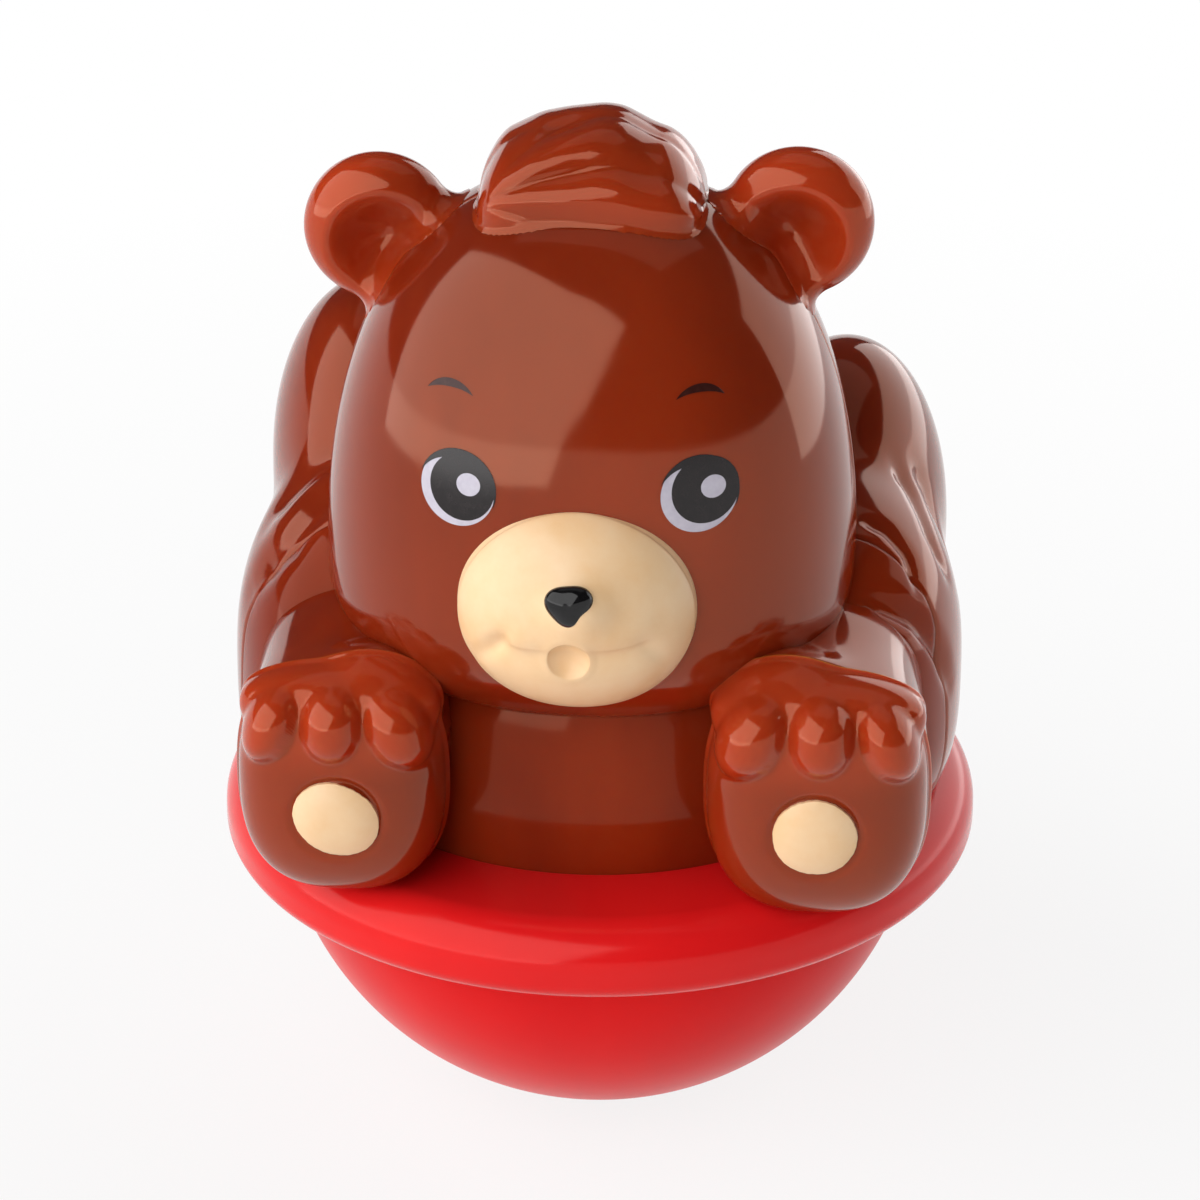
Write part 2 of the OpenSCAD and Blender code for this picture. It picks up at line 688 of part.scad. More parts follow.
// Muzzle and nose
muzzle_root_share = 0.6;
function face_y(x, z) =
  -skin_at(head_mid + [x, 0, z], [0, -1, 0], function (p) 1 / head_reach(p - head_mid), 0, head_w, halvings);
muzzle_root = muzzle_out * muzzle_root_share;
muzzle_mid = head_mid + [0, face_y(0, muzzle_rise) + muzzle_root, muzzle_rise];
function muzzle_reach(d) =
  rounded_reach(d, [muzzle_w / 2, muzzle_out + muzzle_root, muzzle_tall / 2], muzzle_power);
function muzzle_value(p) = 1 / muzzle_reach(p - muzzle_mid);
function muzzle_reach_y(z) =
  skin_at(muzzle_mid + [0, 0, z], [0, -1, 0], function (p) muzzle_value(p), 0, head_w, halvings);
module muzzle() {
  color("moccasin") difference() {
    cap_solid(muzzle_mid, front, function (d) muzzle_reach(d), 360, limb_rays, limb_rows, 0);
    head_impression(seat_gap / 4);
  }
}
nose_tall_share = 0.85;
nose_lobe_share = 0.14;
nose_rise_share = 0.12;
nose_rise = muzzle_tall * nose_rise_share;
nose_mid = [0, muzzle_mid.y - muzzle_reach_y(nose_rise) + nose_out / 2, muzzle_mid.z + nose_rise];
function nose_reach(d) =
  rounded_reach(d, [nose_w, 3 * nose_out, nose_w * nose_tall_share] / 2, nose_power)
  * (1 + nose_lobe_share * sin(-3 * atan2(d.z, d.x)));
module nose() {
  color("black") difference() {
    ball_form(nose_mid, function (d) nose_reach(d), small_rays, small_rows);
    cap_solid(muzzle_mid, front, function (d) muzzle_reach(d), 360, limb_rays, limb_rows, seat_gap / 4);
  }
}

// Chime under the deck: hanger, bell, washer, pin and clapper
module chime_place() {
  translate([0, -part_front, 0]) children();
}
module bell_hanger() {
  color("whitesmoke") difference() {
    chime_place() difference() {
      rotate_extrude() {
        translate([0, hanger_z]) square([hanger_r, hanger_t]);
        translate([0, crown_z]) square([washer_r, hanger_z - crown_z]);
        translate([0, post_end_z]) square([post_r, hanger_z - post_end_z]);
      }
      translate([-slot_w / 2, -hanger_r, post_end_z - over]) cube([slot_w, 2 * hanger_r, slot_h + over]);
      translate([-hanger_r, 0, pin_z]) rotate([0, 90, 0]) cylinder(r = pin_d / 2, h = 2 * hanger_r);
    }
    for (i = [1:neck_screws]) translate(neck_place(i) + [0, 0, hanger_z - over])
      cylinder(r = screw_hole_r, h = hanger_t + 2 * over);
  }
}
module bell_outline(grow) {
  top = crown_z - grow;
  polygon([[0, mouth_z], [bell_d / 2 - grow, mouth_z], [crown_r - grow, top], [0, top]]);
}
module bell_cup() {
  color("gold") chime_place() rotate_extrude() difference() {
    bell_outline(0);
    bell_outline(bell_t);
    translate([0, mouth_z]) square([post_r + fit_gap, bell_h + over]);
  }
}
module bell_washer() {
  color("silver") chime_place() translate([0, 0, crown_z - bell_t - washer_t]) difference() {
    cylinder(r = washer_r, h = washer_t);
    translate([0, 0, -over]) cylinder(r = post_r, h = washer_t + 2 * over);
  }
}
module clapper_pin() {
  color("silver") chime_place() translate([-post_r, 0, pin_z]) rotate([0, 90, 0])
    cylinder(r = pin_d / 2, h = 2 * post_r);
}
module bell_clapper() {
  color("silver") chime_place() translate([0, 0, pin_z]) difference() {
    union() {
      translate([-eye_t / 2, 0, 0]) rotate([0, 90, 0]) cylinder(r = eye_r, h = eye_t);
      translate([0, 0, -clapper_len]) cylinder(r = rod_r, h = clapper_len - pin_d);
      translate([0, 0, -clapper_len]) sphere(r = ball_d / 2);
    }
    translate([-eye_t, 0, 0]) rotate([0, 90, 0]) cylinder(r = pin_d / 2 + run_gap, h = 2 * eye_t);
  }
}

base_bowl();
base_rim();
ballast_weight();
ballast_cap();
ballast_screws();
chest_shell();
back_shell();
body_screws();
neck_post();
deck_screws();
left_arm();
right_arm();
left_palm();
right_palm();
left_paw_pad();
right_paw_pad();
face_shell();
head_back_shell();
left_ear();
right_ear();
hair_tuft();
muzzle();
nose();
bell_hanger();
bell_cup();
bell_washer();
clapper_pin();
bell_clapper();
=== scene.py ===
"""Looks of the roly-poly bear cub: fine moulded skins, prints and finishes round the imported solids.

The shape functions work in millimetres in the frame of the solids, and a mesh is written in metres.
The bear faces -Y, +Z is up, and left and right are as seen from the front.
"""

import bmesh
import bpy
import numpy as np
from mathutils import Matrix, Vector


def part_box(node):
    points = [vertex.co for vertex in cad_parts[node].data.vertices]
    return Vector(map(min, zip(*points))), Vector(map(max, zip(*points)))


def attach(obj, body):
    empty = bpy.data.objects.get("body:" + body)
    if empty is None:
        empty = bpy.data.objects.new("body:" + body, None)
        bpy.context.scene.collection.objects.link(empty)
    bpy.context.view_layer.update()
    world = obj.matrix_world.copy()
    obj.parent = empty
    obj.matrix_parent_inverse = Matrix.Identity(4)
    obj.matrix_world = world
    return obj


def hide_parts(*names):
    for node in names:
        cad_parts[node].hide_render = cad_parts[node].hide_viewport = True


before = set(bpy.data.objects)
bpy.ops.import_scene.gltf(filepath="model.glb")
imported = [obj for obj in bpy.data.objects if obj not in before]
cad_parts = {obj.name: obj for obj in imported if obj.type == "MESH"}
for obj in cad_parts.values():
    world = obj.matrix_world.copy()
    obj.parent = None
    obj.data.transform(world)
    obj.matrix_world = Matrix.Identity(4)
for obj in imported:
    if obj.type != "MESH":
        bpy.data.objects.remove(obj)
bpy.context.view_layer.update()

bl_info = {
    "name": "Roly-poly bear",
    "version": (1, 0, 0),
    "blender": (4, 5, 0),
    "location": "3D View > Sidebar > Roly-poly",
    "description": "Moulded skins, prints, finishes and a stage for a roly-poly bear cub",
    "category": "Object",
}

MM = 0.001
LEFT, RIGHT = -1, 1
SIDES = ((LEFT, "left"), (RIGHT, "right"))
FRONT, BACK, UP = np.array([0, -1, 0]), np.array([0, 1, 0]), np.array([0, 0, 1])
ACROSS = np.array([1, 0, 0])


def node_box(node):
    """Lowest and highest corner of a solid, in millimetres."""
    low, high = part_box(node)
    return np.array(low) / MM, np.array(high) / MM


def linear(text):
    """An sRGB hex colour as linear red, green and blue."""
    parts = np.array([int(text[i:i + 2], 16) for i in (1, 3, 5)]) / 255
    return tuple(np.where(parts <= 0.04045, parts / 12.92, ((parts + 0.055) / 1.055) ** 2.4))


# Places that come from the solids
RIM_LOW, RIM_HIGH = node_box("base_rim")
FACE_LOW, FACE_HIGH = node_box("face_shell")
PALM_LOW, PALM_HIGH = node_box("right_palm")
MUZZLE_LOW, MUZZLE_HIGH = node_box("muzzle")
DECK_Z = RIM_HIGH[2]
PART_Y = FACE_HIGH[1]


def length(name, description, millimetres):
    """A length property with its default given in millimetres."""
    return bpy.props.FloatProperty(name=name, description=description, default=millimetres * MM,
                                   unit="LENGTH", precision=5)


def angle(name, description, degrees):
    """An angle property with its default given in degrees."""
    return bpy.props.FloatProperty(name=name, description=description, default=np.radians(degrees),
                                   subtype="ANGLE")


def level(name, description, value):
    """A brightness property."""
    return bpy.props.FloatProperty(name=name, description=description, default=value)


def colour(name, description, text):
    """A colour property with its default given as an sRGB hex value."""
    return bpy.props.FloatVectorProperty(name=name, description=description, default=linear(text),
                                         subtype="COLOR", size=3, min=0, max=1)


class BearSizes(bpy.types.PropertyGroup):
    """Sizes of the moulded forms"""
    wall: length("Wall", "Wall of every moulded shell", 2)
    bowl_d: length("Bowl", "Outside diameter of the bowl", 78)
    flat_d: length("Flat", "Diameter of the flat under the bowl", 10)
    rim_round: length("Rim top", "Radius of the rounded top edge of the rim", 5)
    rim_edge: length("Rim edge", "Radius of the rounded lower edge of the rim", 2.2)
    head_w: length("Head width", "Width of the head across the cheeks", 60.4)
    chin_drop: length("Chin", "Chin below the widest level of the head", 17)
    crown_rise: length("Crown", "Crown above the widest level of the head", 45)
    face_deep: length("Face", "Face in front of the parting plane", 26)
    nape_deep: length("Nape", "Nape behind the parting plane", 25)
    ear_d: length("Ear", "Diameter of an ear", 17)
    ear_t: length("Ear thickness", "Thickness of an ear", 10)
    ear_root: length("Ear root", "Radius of the fillet round the root of an ear", 2.6)
    tuft_w: length("Tuft width", "Width of the hair tuft", 25)
    tuft_len: length("Tuft length", "Length of the hair tuft from front to back", 20)
    tuft_rise: length("Tuft height", "Top of the hair tuft above the crown", 7.5)
    muzzle_w: length("Muzzle width", "Width of the muzzle", 27.4)
    muzzle_tall: length("Muzzle height", "Height of the muzzle", 24.6)
    muzzle_out: length("Muzzle depth", "Muzzle in front of the face", 6)
    nose_w: length("Nose", "Width of the nose", 5.2)
    paw_w: length("Paw width", "Width of a paw", 23.4)
    paw_tall: length("Paw height", "Height of a paw", 27.6)
    palm_deep: length("Palm", "Depth of a palm in front of its seam", 8)
    toe_w: length("Toe", "Width of a toe", 7.6)
    pad_d: length("Pad", "Diameter of a paw pad", 9.4)
    pad_dome: length("Pad dome", "How far a pad stands out at its middle", 0.9)
    seam: length("Seam", "Depth of the line along a moulding seam", 0.22)
    strand: length("Strand", "Depth of the strands of the tuft", 1.1)
    eye_d: length("Eye", "Diameter of a printed eye", 8.6)
    ink: length("Ink", "Thickness of a printed layer", 0.03)


class BearColours(bpy.types.PropertyGroup):
    """Colours of the finishes"""
    brown: colour("Brown", "Glossy brown plastic in light", "#973011")
    # Painted glow: a brighter, more orange brown for the ears, the tuft and the toes, standing in for the
    # light that passes the thin plastic
    brown_glow_painted: colour("Thin brown", "Brown plastic of ears, tuft and toes, which light passes", "#BA3F1B")
    brown_deep: colour("Deep brown", "Streaks of deeper brown in the plastic", "#7E240D")
    red: colour("Red", "Satin red plastic", "#EC1E1F")
    red_deep: colour("Deep red", "Streaks of deeper red in the plastic", "#E0191D")
    cream: colour("Cream", "Sprayed cream coat of the muzzle and the pads", "#F7CB97")
    cream_pale: colour("Pale cream", "Thin places of the cream coat", "#FBD9AF")
    black: colour("Black", "Gloss black of the nose", "#0B0A0B")
    pupil: colour("Pupil", "Printed dark of the eyes", "#171112")
    eye_white: colour("Eye white", "Printed lilac white of the eyes", "#CDC8D4")
    brow: colour("Brow", "Printed dark brown of the brows", "#33120F")
    floor: colour("Floor", "Plain pale floor", "#F0F0F0")


class BearStage(bpy.types.PropertyGroup):
    """Camera and lights"""
    azimuth: angle("Azimuth", "Camera's turn from the front towards the right", 4)
    elevation: angle("Elevation", "Camera's height above the horizon", 26)
    distance: length("Distance", "Camera to its target", 550)
    view_w: length("View", "Width of the picture at the target", 144.93)
    target_rise: length("Target", "Target above the middle of the bowl, along the picture", 21.135)
    key: level("Key", "Brightness of the left softbox", 2.3)
    side: level("Side", "Brightness of the right softbox", 1.7)
    top: level("Top", "Brightness of the overhead softbox", 0.3)
    room: level("Room", "Brightness of the room", 0.05)


def sizes():
    """The sizes in millimetres, by name."""
    group = bpy.context.scene.bear_sizes
    return {name: getattr(group, name) / MM for name in BearSizes.__annotations__}


def colours():
    """The colours of the finishes."""
    return bpy.context.scene.bear_colours


# Shapes

def rays(axis, across, turns, tilts):
    """Rays in rows of one tilt away from an axis and columns of one turn round it, from the across vector."""
    third = np.cross(axis, across)
    turn, tilt = np.meshgrid(turns, tilts)
    around = np.cos(turn)[..., None] * across + np.sin(turn)[..., None] * third
    return np.sin(tilt)[..., None] * around + np.cos(tilt)[..., None] * axis


def circle(count):
    """Turns of a full circle, its end left out."""
    return np.linspace(0, 2 * np.pi, count, endpoint=False)


def eased(count, end, power=1.8):
    """Steps from zero to an end that lie closer together towards the end."""
    share = np.linspace(0, 1, count)
    return end * (1 - (1 - share) ** power)


def signed_power(value, power):
    """A power of a value that keeps its sign."""
    return np.sign(value) * np.abs(value) ** power


def rounded(offsets, half, power):
    """Value of a rounded form: the power mean of the offsets over its half sizes, which is 1 on its skin."""
    return ((np.abs(offsets) / half) ** power).sum(-1) ** (1 / power)


def front_depth(x, z, half, power):
    """How far the skin of a rounded form lies in front of its middle, at an offset from that."""
    rest = 1 - (np.abs(x) / half[0]) ** power - (np.abs(z) / half[2]) ** power
    return half[1] * np.clip(rest, 0, None) ** (1 / power)


def melted(values, blend):
    """Value of several forms melted into one, sharper with a larger blend."""
    return sum(value ** -blend for value in values) ** (-1 / blend)


def skin(value, centre, directions, far, halvings=26):
    """Distance along each ray at which a value grows past 1, found by halving."""
    near = np.zeros(directions.shape[:-1])
    end = np.full(directions.shape[:-1], float(far))
    for _ in range(halvings):
        middle = (near + end) / 2
        inside = value(centre + middle[..., None] * directions) < 1
        near, end = np.where(inside, middle, near), np.where(inside, end, middle)
    return (near + end) / 2


def height_over(value, points, step=0.02):
    """Height of points over a skin and the skin's outward direction there, from the value and its slope."""
    slope = np.stack([value(points + step * axis) - value(points - step * axis) for axis in np.eye(3)], -1)
    slope /= 2 * step
    size = np.linalg.norm(slope, axis=-1, keepdims=True)
    return (value(points) - 1) / size[..., 0], slope / size


def unit(vectors, guard=1e-9):
    """Vectors brought to a length of 1, with a guard for those of no length."""
    return vectors / (np.linalg.norm(vectors, axis=-1, keepdims=True) + guard)


def normals(grid):
    """Directions square to a grid of points whose columns close, from the cross product of its slopes."""
    down = np.gradient(grid, axis=0)
    round_ = np.roll(grid, -1, 1) - np.roll(grid, 1, 1)
    square = unit(np.cross(round_, down), 1e-12)
    outward = np.sign((square * (grid - grid.mean((0, 1)))).sum())
    return outward * square


def rooted(grid, host, radius):
    """A grid with a fillet at its root: points less than a radius over the host move out along its skin."""
    height, out = height_over(host, grid)
    square = normals(grid)
    along = unit(square - (square * out).sum(-1, keepdims=True) * out)
    rest = 1 - np.clip(height / radius, 0, 1)
    return grid + (radius * (1 - np.sqrt(1 - rest ** 2)))[..., None] * along


def bump_at(distance, width):
    """A smooth bump of height 1 at zero distance that is gone at about twice its width."""
    return np.exp(-(distance / width) ** 2)


def step_at(distance, width):
    """A smooth step from 0 to 1 across zero distance."""
    return 0.5 + 0.5 * np.tanh(distance / width)


def shell(middle, way, reach, rise=0):
    """Outer skin at a reach along each ray, with a rise on it, and inner skin a wall below the reach."""
    inner = reach - sizes()["wall"]
    return middle + (reach + rise)[..., None] * way, middle + inner[..., None] * way


def closed_shell(outer, inner):
    """Rows of an outer skin out to its edge, then the inner skin back to its pole."""
    return np.concatenate([outer, inner[::-1]])


def lathe(outline, count=256):
    """An outline of radius and height carried round the upright axis."""
    turn = circle(count)
    radius, height = outline[:, :1], outline[:, 1:]
    return np.stack([radius * np.cos(turn), radius * np.sin(turn), height + 0 * turn], -1)


def arc(middle, radius, start, end, count):
    """Points of a circle's arc between two angles in degrees."""
    turn = np.radians(np.linspace(start, end, count))
    return np.stack([middle[0] + radius * np.cos(turn), middle[1] + radius * np.sin(turn)], -1)


# Forms of this bear

# Powers of rounded forms, and blends of melted ones
ELLIPSOID, TOE_POWER, HEAD_POWER, KNUCKLE_POWER, PAW_POWER, MUZZLE_POWER = 2, 2.2, 2.3, 2.3, 2.6, 2.1
BODY_BLEND, ARM_BLEND, PALM_BLEND = 9, 12, 22


def head_mid():
    """Middle of the head's widest level, in the parting plane."""
    return np.array([0, PART_Y, FACE_LOW[2] + sizes()["chin_drop"]])


def head_value(points):
    """Rounded head, deeper in front and taller above its widest level."""
    s = sizes()
    q = points - head_mid()
    half = np.stack([np.full(q.shape[:-1], s["head_w"] / 2),
                     np.where(q[..., 1] < 0, s["face_deep"], s["nape_deep"]),
                     np.where(q[..., 2] < 0, s["chin_drop"], s["crown_rise"])], -1)
    return rounded(q, half, HEAD_POWER)


# Lumps of the body over the deck: middle, then half sizes
BODY_LUMPS = [
    ((0, 5, 10), (35, 37, 38)),
    ((-28.5, 17, 32), (12, 17, 21)),
    ((28.5, 17, 25.5), (12, 17, 21)),
    ((-29, -2, 17), (13.5, 20, 20)),
    ((29, -2, 17), (13.5, 20, 20)),
    ((-33.5, -3, 7.92), (8.5, 16, 12)),
    ((33.5, -3, 7.92), (8.5, 16, 12)),
    ((0, 42, 16), (6, 6, 6)),
]


def body_value(points):
    """Barrel, haunches, flanks, hind feet and tail, each an ellipsoid, melted into one."""
    q = points - np.array([0, 0, DECK_Z])
    lumps = [rounded(q - np.array(mid), np.array(half), ELLIPSOID) for mid, half in BODY_LUMPS]
    return melted(lumps, BODY_BLEND)


# Middle of a paw over the deck
PAW_RISE = 13.6


def paw_share(side):
    """Size of a paw as a share of the left one, from the widths of the solids."""
    low, high = node_box("left_palm")
    return (PALM_HIGH[0] - PALM_LOW[0]) / (high[0] - low[0]) if side == RIGHT else 1


def paw_half(side, deep):
    """Half sizes of a paw, with the depth of the left one before or behind its seam."""
    s = sizes()
    return paw_share(side) * np.array([s["paw_w"] / 2, deep, s["paw_tall"] / 2])


def paw_mid(side):
    """Middle of a paw in the plane of its seam."""
    return np.array([side * (PALM_LOW[0] + PALM_HIGH[0]) / 2, PALM_HIGH[1], DECK_Z + PAW_RISE])


# Toes from the inner to the outer one: place outwards, backwards and up from the paw's middle, and half sizes
TOES = (
    ((-6.8, -4.2, 8.2), (3.75, 4.7, 4.5)),
    ((0.4, -4.7, 8.7), (3.6, 4.7, 4.4)),
    ((7.3, -4, 8.2), (3.2, 4.6, 4.3)),
)
# Toe width that the half sizes belong to, and how far toes lean apart
TOE_NOMINAL, TOE_SPLAY = 7.6, 0.03
# Knuckles that the toes come out of, and the web from the inner top of a paw up to the chin
KNUCKLE_MID, KNUCKLE_HALF = np.array([0, -1.6, 9.6]), np.array([11.2, 4.6, 4.2])
WEB_MID, WEB_HALF = np.array([-3.5, 0.5, 9.8]), np.array([7.5, 6, 5.4])
# Heights over the middle of a paw between which the painted glow of the toes comes up
TOE_PAINTED_GLOW = (2, 8)
# Middle of a pad below that of its paw
PAD_DROP = 2


def paw_web(offsets, side):
    """Small ellipsoid on the inner top of a paw."""
    share = paw_share(side)
    return rounded(offsets - share * WEB_MID * np.array([side, 1, 1]), share * WEB_HALF, ELLIPSOID)


def palm_value(points, side):
    """Rounded palm melted with knuckles, a web and three toes that splay downwards."""
    s, share = sizes(), paw_share(side)
    q = points - paw_mid(side)
    forms = [rounded(q, paw_half(side, s["palm_deep"]), PAW_POWER), paw_web(q, side),
             rounded(q - share * KNUCKLE_MID, share * KNUCKLE_HALF, KNUCKLE_POWER)]
    toe_share = s["toe_w"] / TOE_NOMINAL * share
    for middle, half in TOES:
        offset = q - share * np.array(middle) * np.array([side, 1, 1])
        lean = TOE_SPLAY * middle[0] * side * offset[..., 2]
        offset = np.stack([offset[..., 0] + lean, offset[..., 1], offset[..., 2]], -1)
        forms.append(rounded(offset, toe_share * np.array(half), TOE_POWER))
    return melted(forms, PALM_BLEND)


# Upper arm over the deck, on the right, and its half sizes
ARM_MID, ARM_HALF = np.array([26, -14, 18]), np.array([12, 22, 12])


def arm_value(points, side):
    """Wrist melted with the ellipsoid of the upper arm and the web of the paw."""
    q = points - paw_mid(side)
    wrist = rounded(q, paw_half(side, ARM_HALF[1]), PAW_POWER)
    upper = ARM_MID * np.array([side, 1, 1]) + np.array([0, 0, DECK_Z])
    return melted([wrist, rounded(points - upper, ARM_HALF, ELLIPSOID), paw_web(q, side)], ARM_BLEND)


def seam_dip(distance, width=0.28):
    """Depth of a moulding seam at a distance from it, as a narrow smooth groove."""
    return sizes()["seam"] * bump_at(distance, width)


# Making of a piece

# Spread of a pole's row in millimetres, lengths in metres that are merged, and the least sharp edge
POLE_SPREAD, MERGED, SLIVER, SHARP = 1e-4, 1e-7, 1e-8, np.radians(55)


def ring_faces(grid, start=0):
    """Faces between the rows of a grid whose columns close, and the numbers of its points."""
    rows, columns = grid.shape[:2]
    index = start + np.arange(rows * columns).reshape(rows, columns)
    ahead = np.roll(index, -1, 1)
    return np.stack([index[:-1], ahead[:-1], ahead[1:], index[1:]], -1).reshape(-1, 4), index


def make_piece(name, sheets, material, *nodes, slot, body="toy"):
    """One object from sheets of points whose columns close, with poles merged and open ends closed flat."""
    points, faces, start = [], [], 0
    for grid in sheets:
        quads, index = ring_faces(grid, start)
        faces += quads.tolist()
        for end, turn in ((0, -1), (-1, 1)):
            if np.ptp(grid[end], 0).max() > POLE_SPREAD:
                faces.append(index[end].tolist()[::turn])
        points.append(grid.reshape(-1, 3))
        start += index.size
    mesh = bpy.data.meshes.new(name)
    mesh.from_pydata((np.concatenate(points) * MM).tolist(), [], faces)
    work = bmesh.new()
    work.from_mesh(mesh)
    bmesh.ops.remove_doubles(work, verts=work.verts, dist=MERGED)
    bmesh.ops.dissolve_degenerate(work, edges=work.edges, dist=SLIVER)
    bmesh.ops.recalc_face_normals(work, faces=work.faces)
    if work.calc_volume(signed=True) < 0:
        bmesh.ops.reverse_faces(work, faces=work.faces)
    work.to_mesh(mesh)
    work.free()
    mesh.shade_smooth()
    mesh.set_sharp_from_angle(angle=SHARP)
    piece = bpy.data.objects.new(name, mesh)
    bpy.context.scene.collection.objects.link(piece)
    mesh.materials.append(material)
    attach(piece, body)
    if nodes:
        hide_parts(*nodes)


# Materials

def add_node(tree, kind, links=None, **settings):
    """Adds a node, sets its properties or input values by name, and links its inputs to outputs."""
    node = tree.nodes.new(kind)
    for name, value in settings.items():
        label = name.replace("_", " ")
        sockets = [i for i in node.inputs if i.name.lower() == label and i.enabled]
        if sockets:
            sockets[0].default_value = value
        else:
            setattr(node, name, value)
    for name, source in (links or {}).items():
        socket = next(i for i in node.inputs if i.name == name and i.enabled)
        tree.links.new(source, socket)
    return node


def new_material(name):
    """An empty node material with its output and Object coordinates, or one made before with no tree."""
    found = bpy.data.materials.get(name)
    if found:
        return found, None, None, None
    material = bpy.data.materials.new(name)
    material.use_nodes = True
    tree = material.node_tree
    tree.nodes.clear()
    output = add_node(tree, "ShaderNodeOutputMaterial")
    place = add_node(tree, "ShaderNodeTexCoord").outputs["Object"]
    return material, tree, output, place


def noise(tree, place, size, detail, roughness, distortion=0):
    """Noise with features of a size in millimetres on coordinates in metres, as a share."""
    node = add_node(tree, "ShaderNodeTexNoise", {"Vector": place}, scale=1 / (size * MM), detail=detail,
                    roughness=roughness, distortion=distortion)
    return node.outputs["Fac"]


def two_tones(tree, share, low, high, start=0, end=1):
    """A colour that goes from a low to a high tone while a share goes from a start to an end."""
    ramp = add_node(tree, "ShaderNodeValToRGB", {"Fac": share})
    for stop, position, tone in zip(ramp.color_ramp.elements, (start, end), (low, high)):
        stop.position = position
        stop.color = (*tone, 1)
    return ramp.outputs["Color"]


def ranged(tree, share, low, high, start=0, end=1, kind="LINEAR"):
    """A value that goes from low to high while a share goes from a start to an end."""
    node = add_node(tree, "ShaderNodeMapRange", {"Value": share}, interpolation_type=kind,
                    from_min=start, from_max=end, to_min=low, to_max=high)
    return node.outputs["Result"]


def relief(tree, height, strength, depth):
    """Normals of a relief with a depth in millimetres."""
    node = add_node(tree, "ShaderNodeBump", {"Height": height}, strength=strength, distance=depth * MM)
    return node.outputs["Normal"]


def surface(tree, output, links, **settings):
    """A principled surface of a material."""
    shader = add_node(tree, "ShaderNodeBsdfPrincipled", links, **settings)
    tree.links.new(shader.outputs["BSDF"], output.inputs["Surface"])


def glow_painted_by_height(tree, place, tone, glow, low, high, most=0.7):
    """Painted glow: a tone that goes over into a brighter glow colour between two heights in millimetres, up
    to the most of it, standing in for light that passes thin plastic.
    """
    height = add_node(tree, "ShaderNodeSeparateXYZ", {"Vector": place}).outputs["Z"]
    fade = ranged(tree, height, 0, most, low * MM, high * MM, "SMOOTHSTEP")
    blend = add_node(tree, "ShaderNodeMix", {"A": tone, "Factor": fade}, data_type="RGBA", b=(*glow, 1))
    return next(o for o in blend.outputs if o.enabled)


def moulded(name, light, deep, roughness, spread, gloss, soft, soft_reach, shine=(1, 1, 1),
            streak=35, dents=0.3, glow=None):
    """Injection-moulded plastic: long flow streaks of two near colours, faint mould ripple, worn gloss."""
    material, tree, output, place = new_material(name)
    if tree is None:
        return material
    stretch = add_node(tree, "ShaderNodeMapping", {"Vector": place}, scale=(1, 1, 0.35)).outputs["Vector"]
    flow = noise(tree, stretch, size=streak, detail=3, roughness=0.55, distortion=0.6)
    tone = two_tones(tree, flow, deep, light, start=0.35, end=0.65)
    # Painted glow, where one is given: the tone brightens towards the glow colour over a band of heights
    if glow:
        tone = glow_painted_by_height(tree, place, tone, *glow)
    handling = noise(tree, place, size=9, detail=6, roughness=0.6)
    ripple = noise(tree, place, size=3.5, detail=1, roughness=0.4)
    links = {"Base Color": tone,
             "Roughness": ranged(tree, handling, roughness, roughness + spread, start=0.35, end=0.7),
             "Normal": relief(tree, ripple, strength=dents, depth=0.02)}
    surface(tree, output, links, ior=gloss, subsurface_weight=soft, subsurface_scale=soft_reach * MM,
            subsurface_radius=(1, 0.35, 0.15), specular_tint=(*shine, 1))
    return material


def styrene(name, light, deep, gloss=1.66, soft_reach=2.5, glow=None):
    """High-impact polystyrene, moulded bright: light enters a little, so rims glow and hollows go dark."""
    return moulded(name, light, deep, roughness=0.07, spread=0.05, gloss=gloss, soft=0.7,
                   soft_reach=soft_reach, shine=(1, 0.55, 0.36), glow=glow)


def brown_styrene():
    """Polystyrene of the large mouldings."""
    c = colours()
    return styrene("brown_polystyrene_moulded", c.brown, c.brown_deep)


def styrene_shade_painted():
    """Polystyrene of the chest with painted shade: the same plastic as the back but given a lower gloss, so
    it reflects less of the bright floor and looks darker.
    """
    c = colours()
    return styrene("brown_polystyrene_shade_painted", c.brown, c.brown_deep, gloss=1.36)


def palm_glow_painted_styrene():
    """Polystyrene of a palm with a painted glow: the toes are painted brighter and more orange than the sole,
    standing in for the light that passes them.
    """
    c = colours()
    heights = paw_mid(LEFT)[2] + np.array(TOE_PAINTED_GLOW)
    return styrene("brown_polystyrene_toes_glow_painted", c.brown, c.brown_deep, glow=(c.brown_glow_painted, *heights))


def styrene_glow_painted():
    """Polystyrene of a small moulding with a painted glow: its base colour is the brighter, more orange
    brown, standing in for the light that passes it.
    """
    c = colours()
    return styrene("brown_polystyrene_glow_painted", c.brown_glow_painted, c.brown, soft_reach=3)


def red_polypropylene(name, roughness, gloss):
    """Polypropylene: softer reflections than the bear and an even, bright red."""
    c = colours()
    return moulded(name, c.red, c.red_deep, roughness, spread=0.03, gloss=gloss, soft=0.1, soft_reach=2,
                   shine=(1, 0.6, 0.55), streak=50, dents=0.1)


def plain_polypropylene(name, light, deep, roughness, soft):
    """Polypropylene of the inner pieces, left as it comes from the mould."""
    return moulded(name, linear(light), linear(deep), roughness, spread=0.1, gloss=1.49, soft=soft,
                   soft_reach=1)


def cream_coat():
    """Masked spray lacquer over the moulding: satin, pale where thin, with fine dust nibs."""
    c = colours()
    material, tree, output, place = new_material("cream_lacquer_sprayed")
    if tree is None:
        return material
    cloud = noise(tree, place, size=6, detail=4, roughness=0.6)
    nibs = noise(tree, place, size=0.7, detail=2, roughness=0.5)
    links = {"Base Color": two_tones(tree, cloud, c.cream, c.cream_pale, start=0.3, end=0.75),
             "Roughness": ranged(tree, cloud, 0.3, 0.4, start=0.3, end=0.7),
             "Normal": relief(tree, nibs, strength=0.25, depth=0.03)}
    surface(tree, output, links, ior=1.46)
    return material


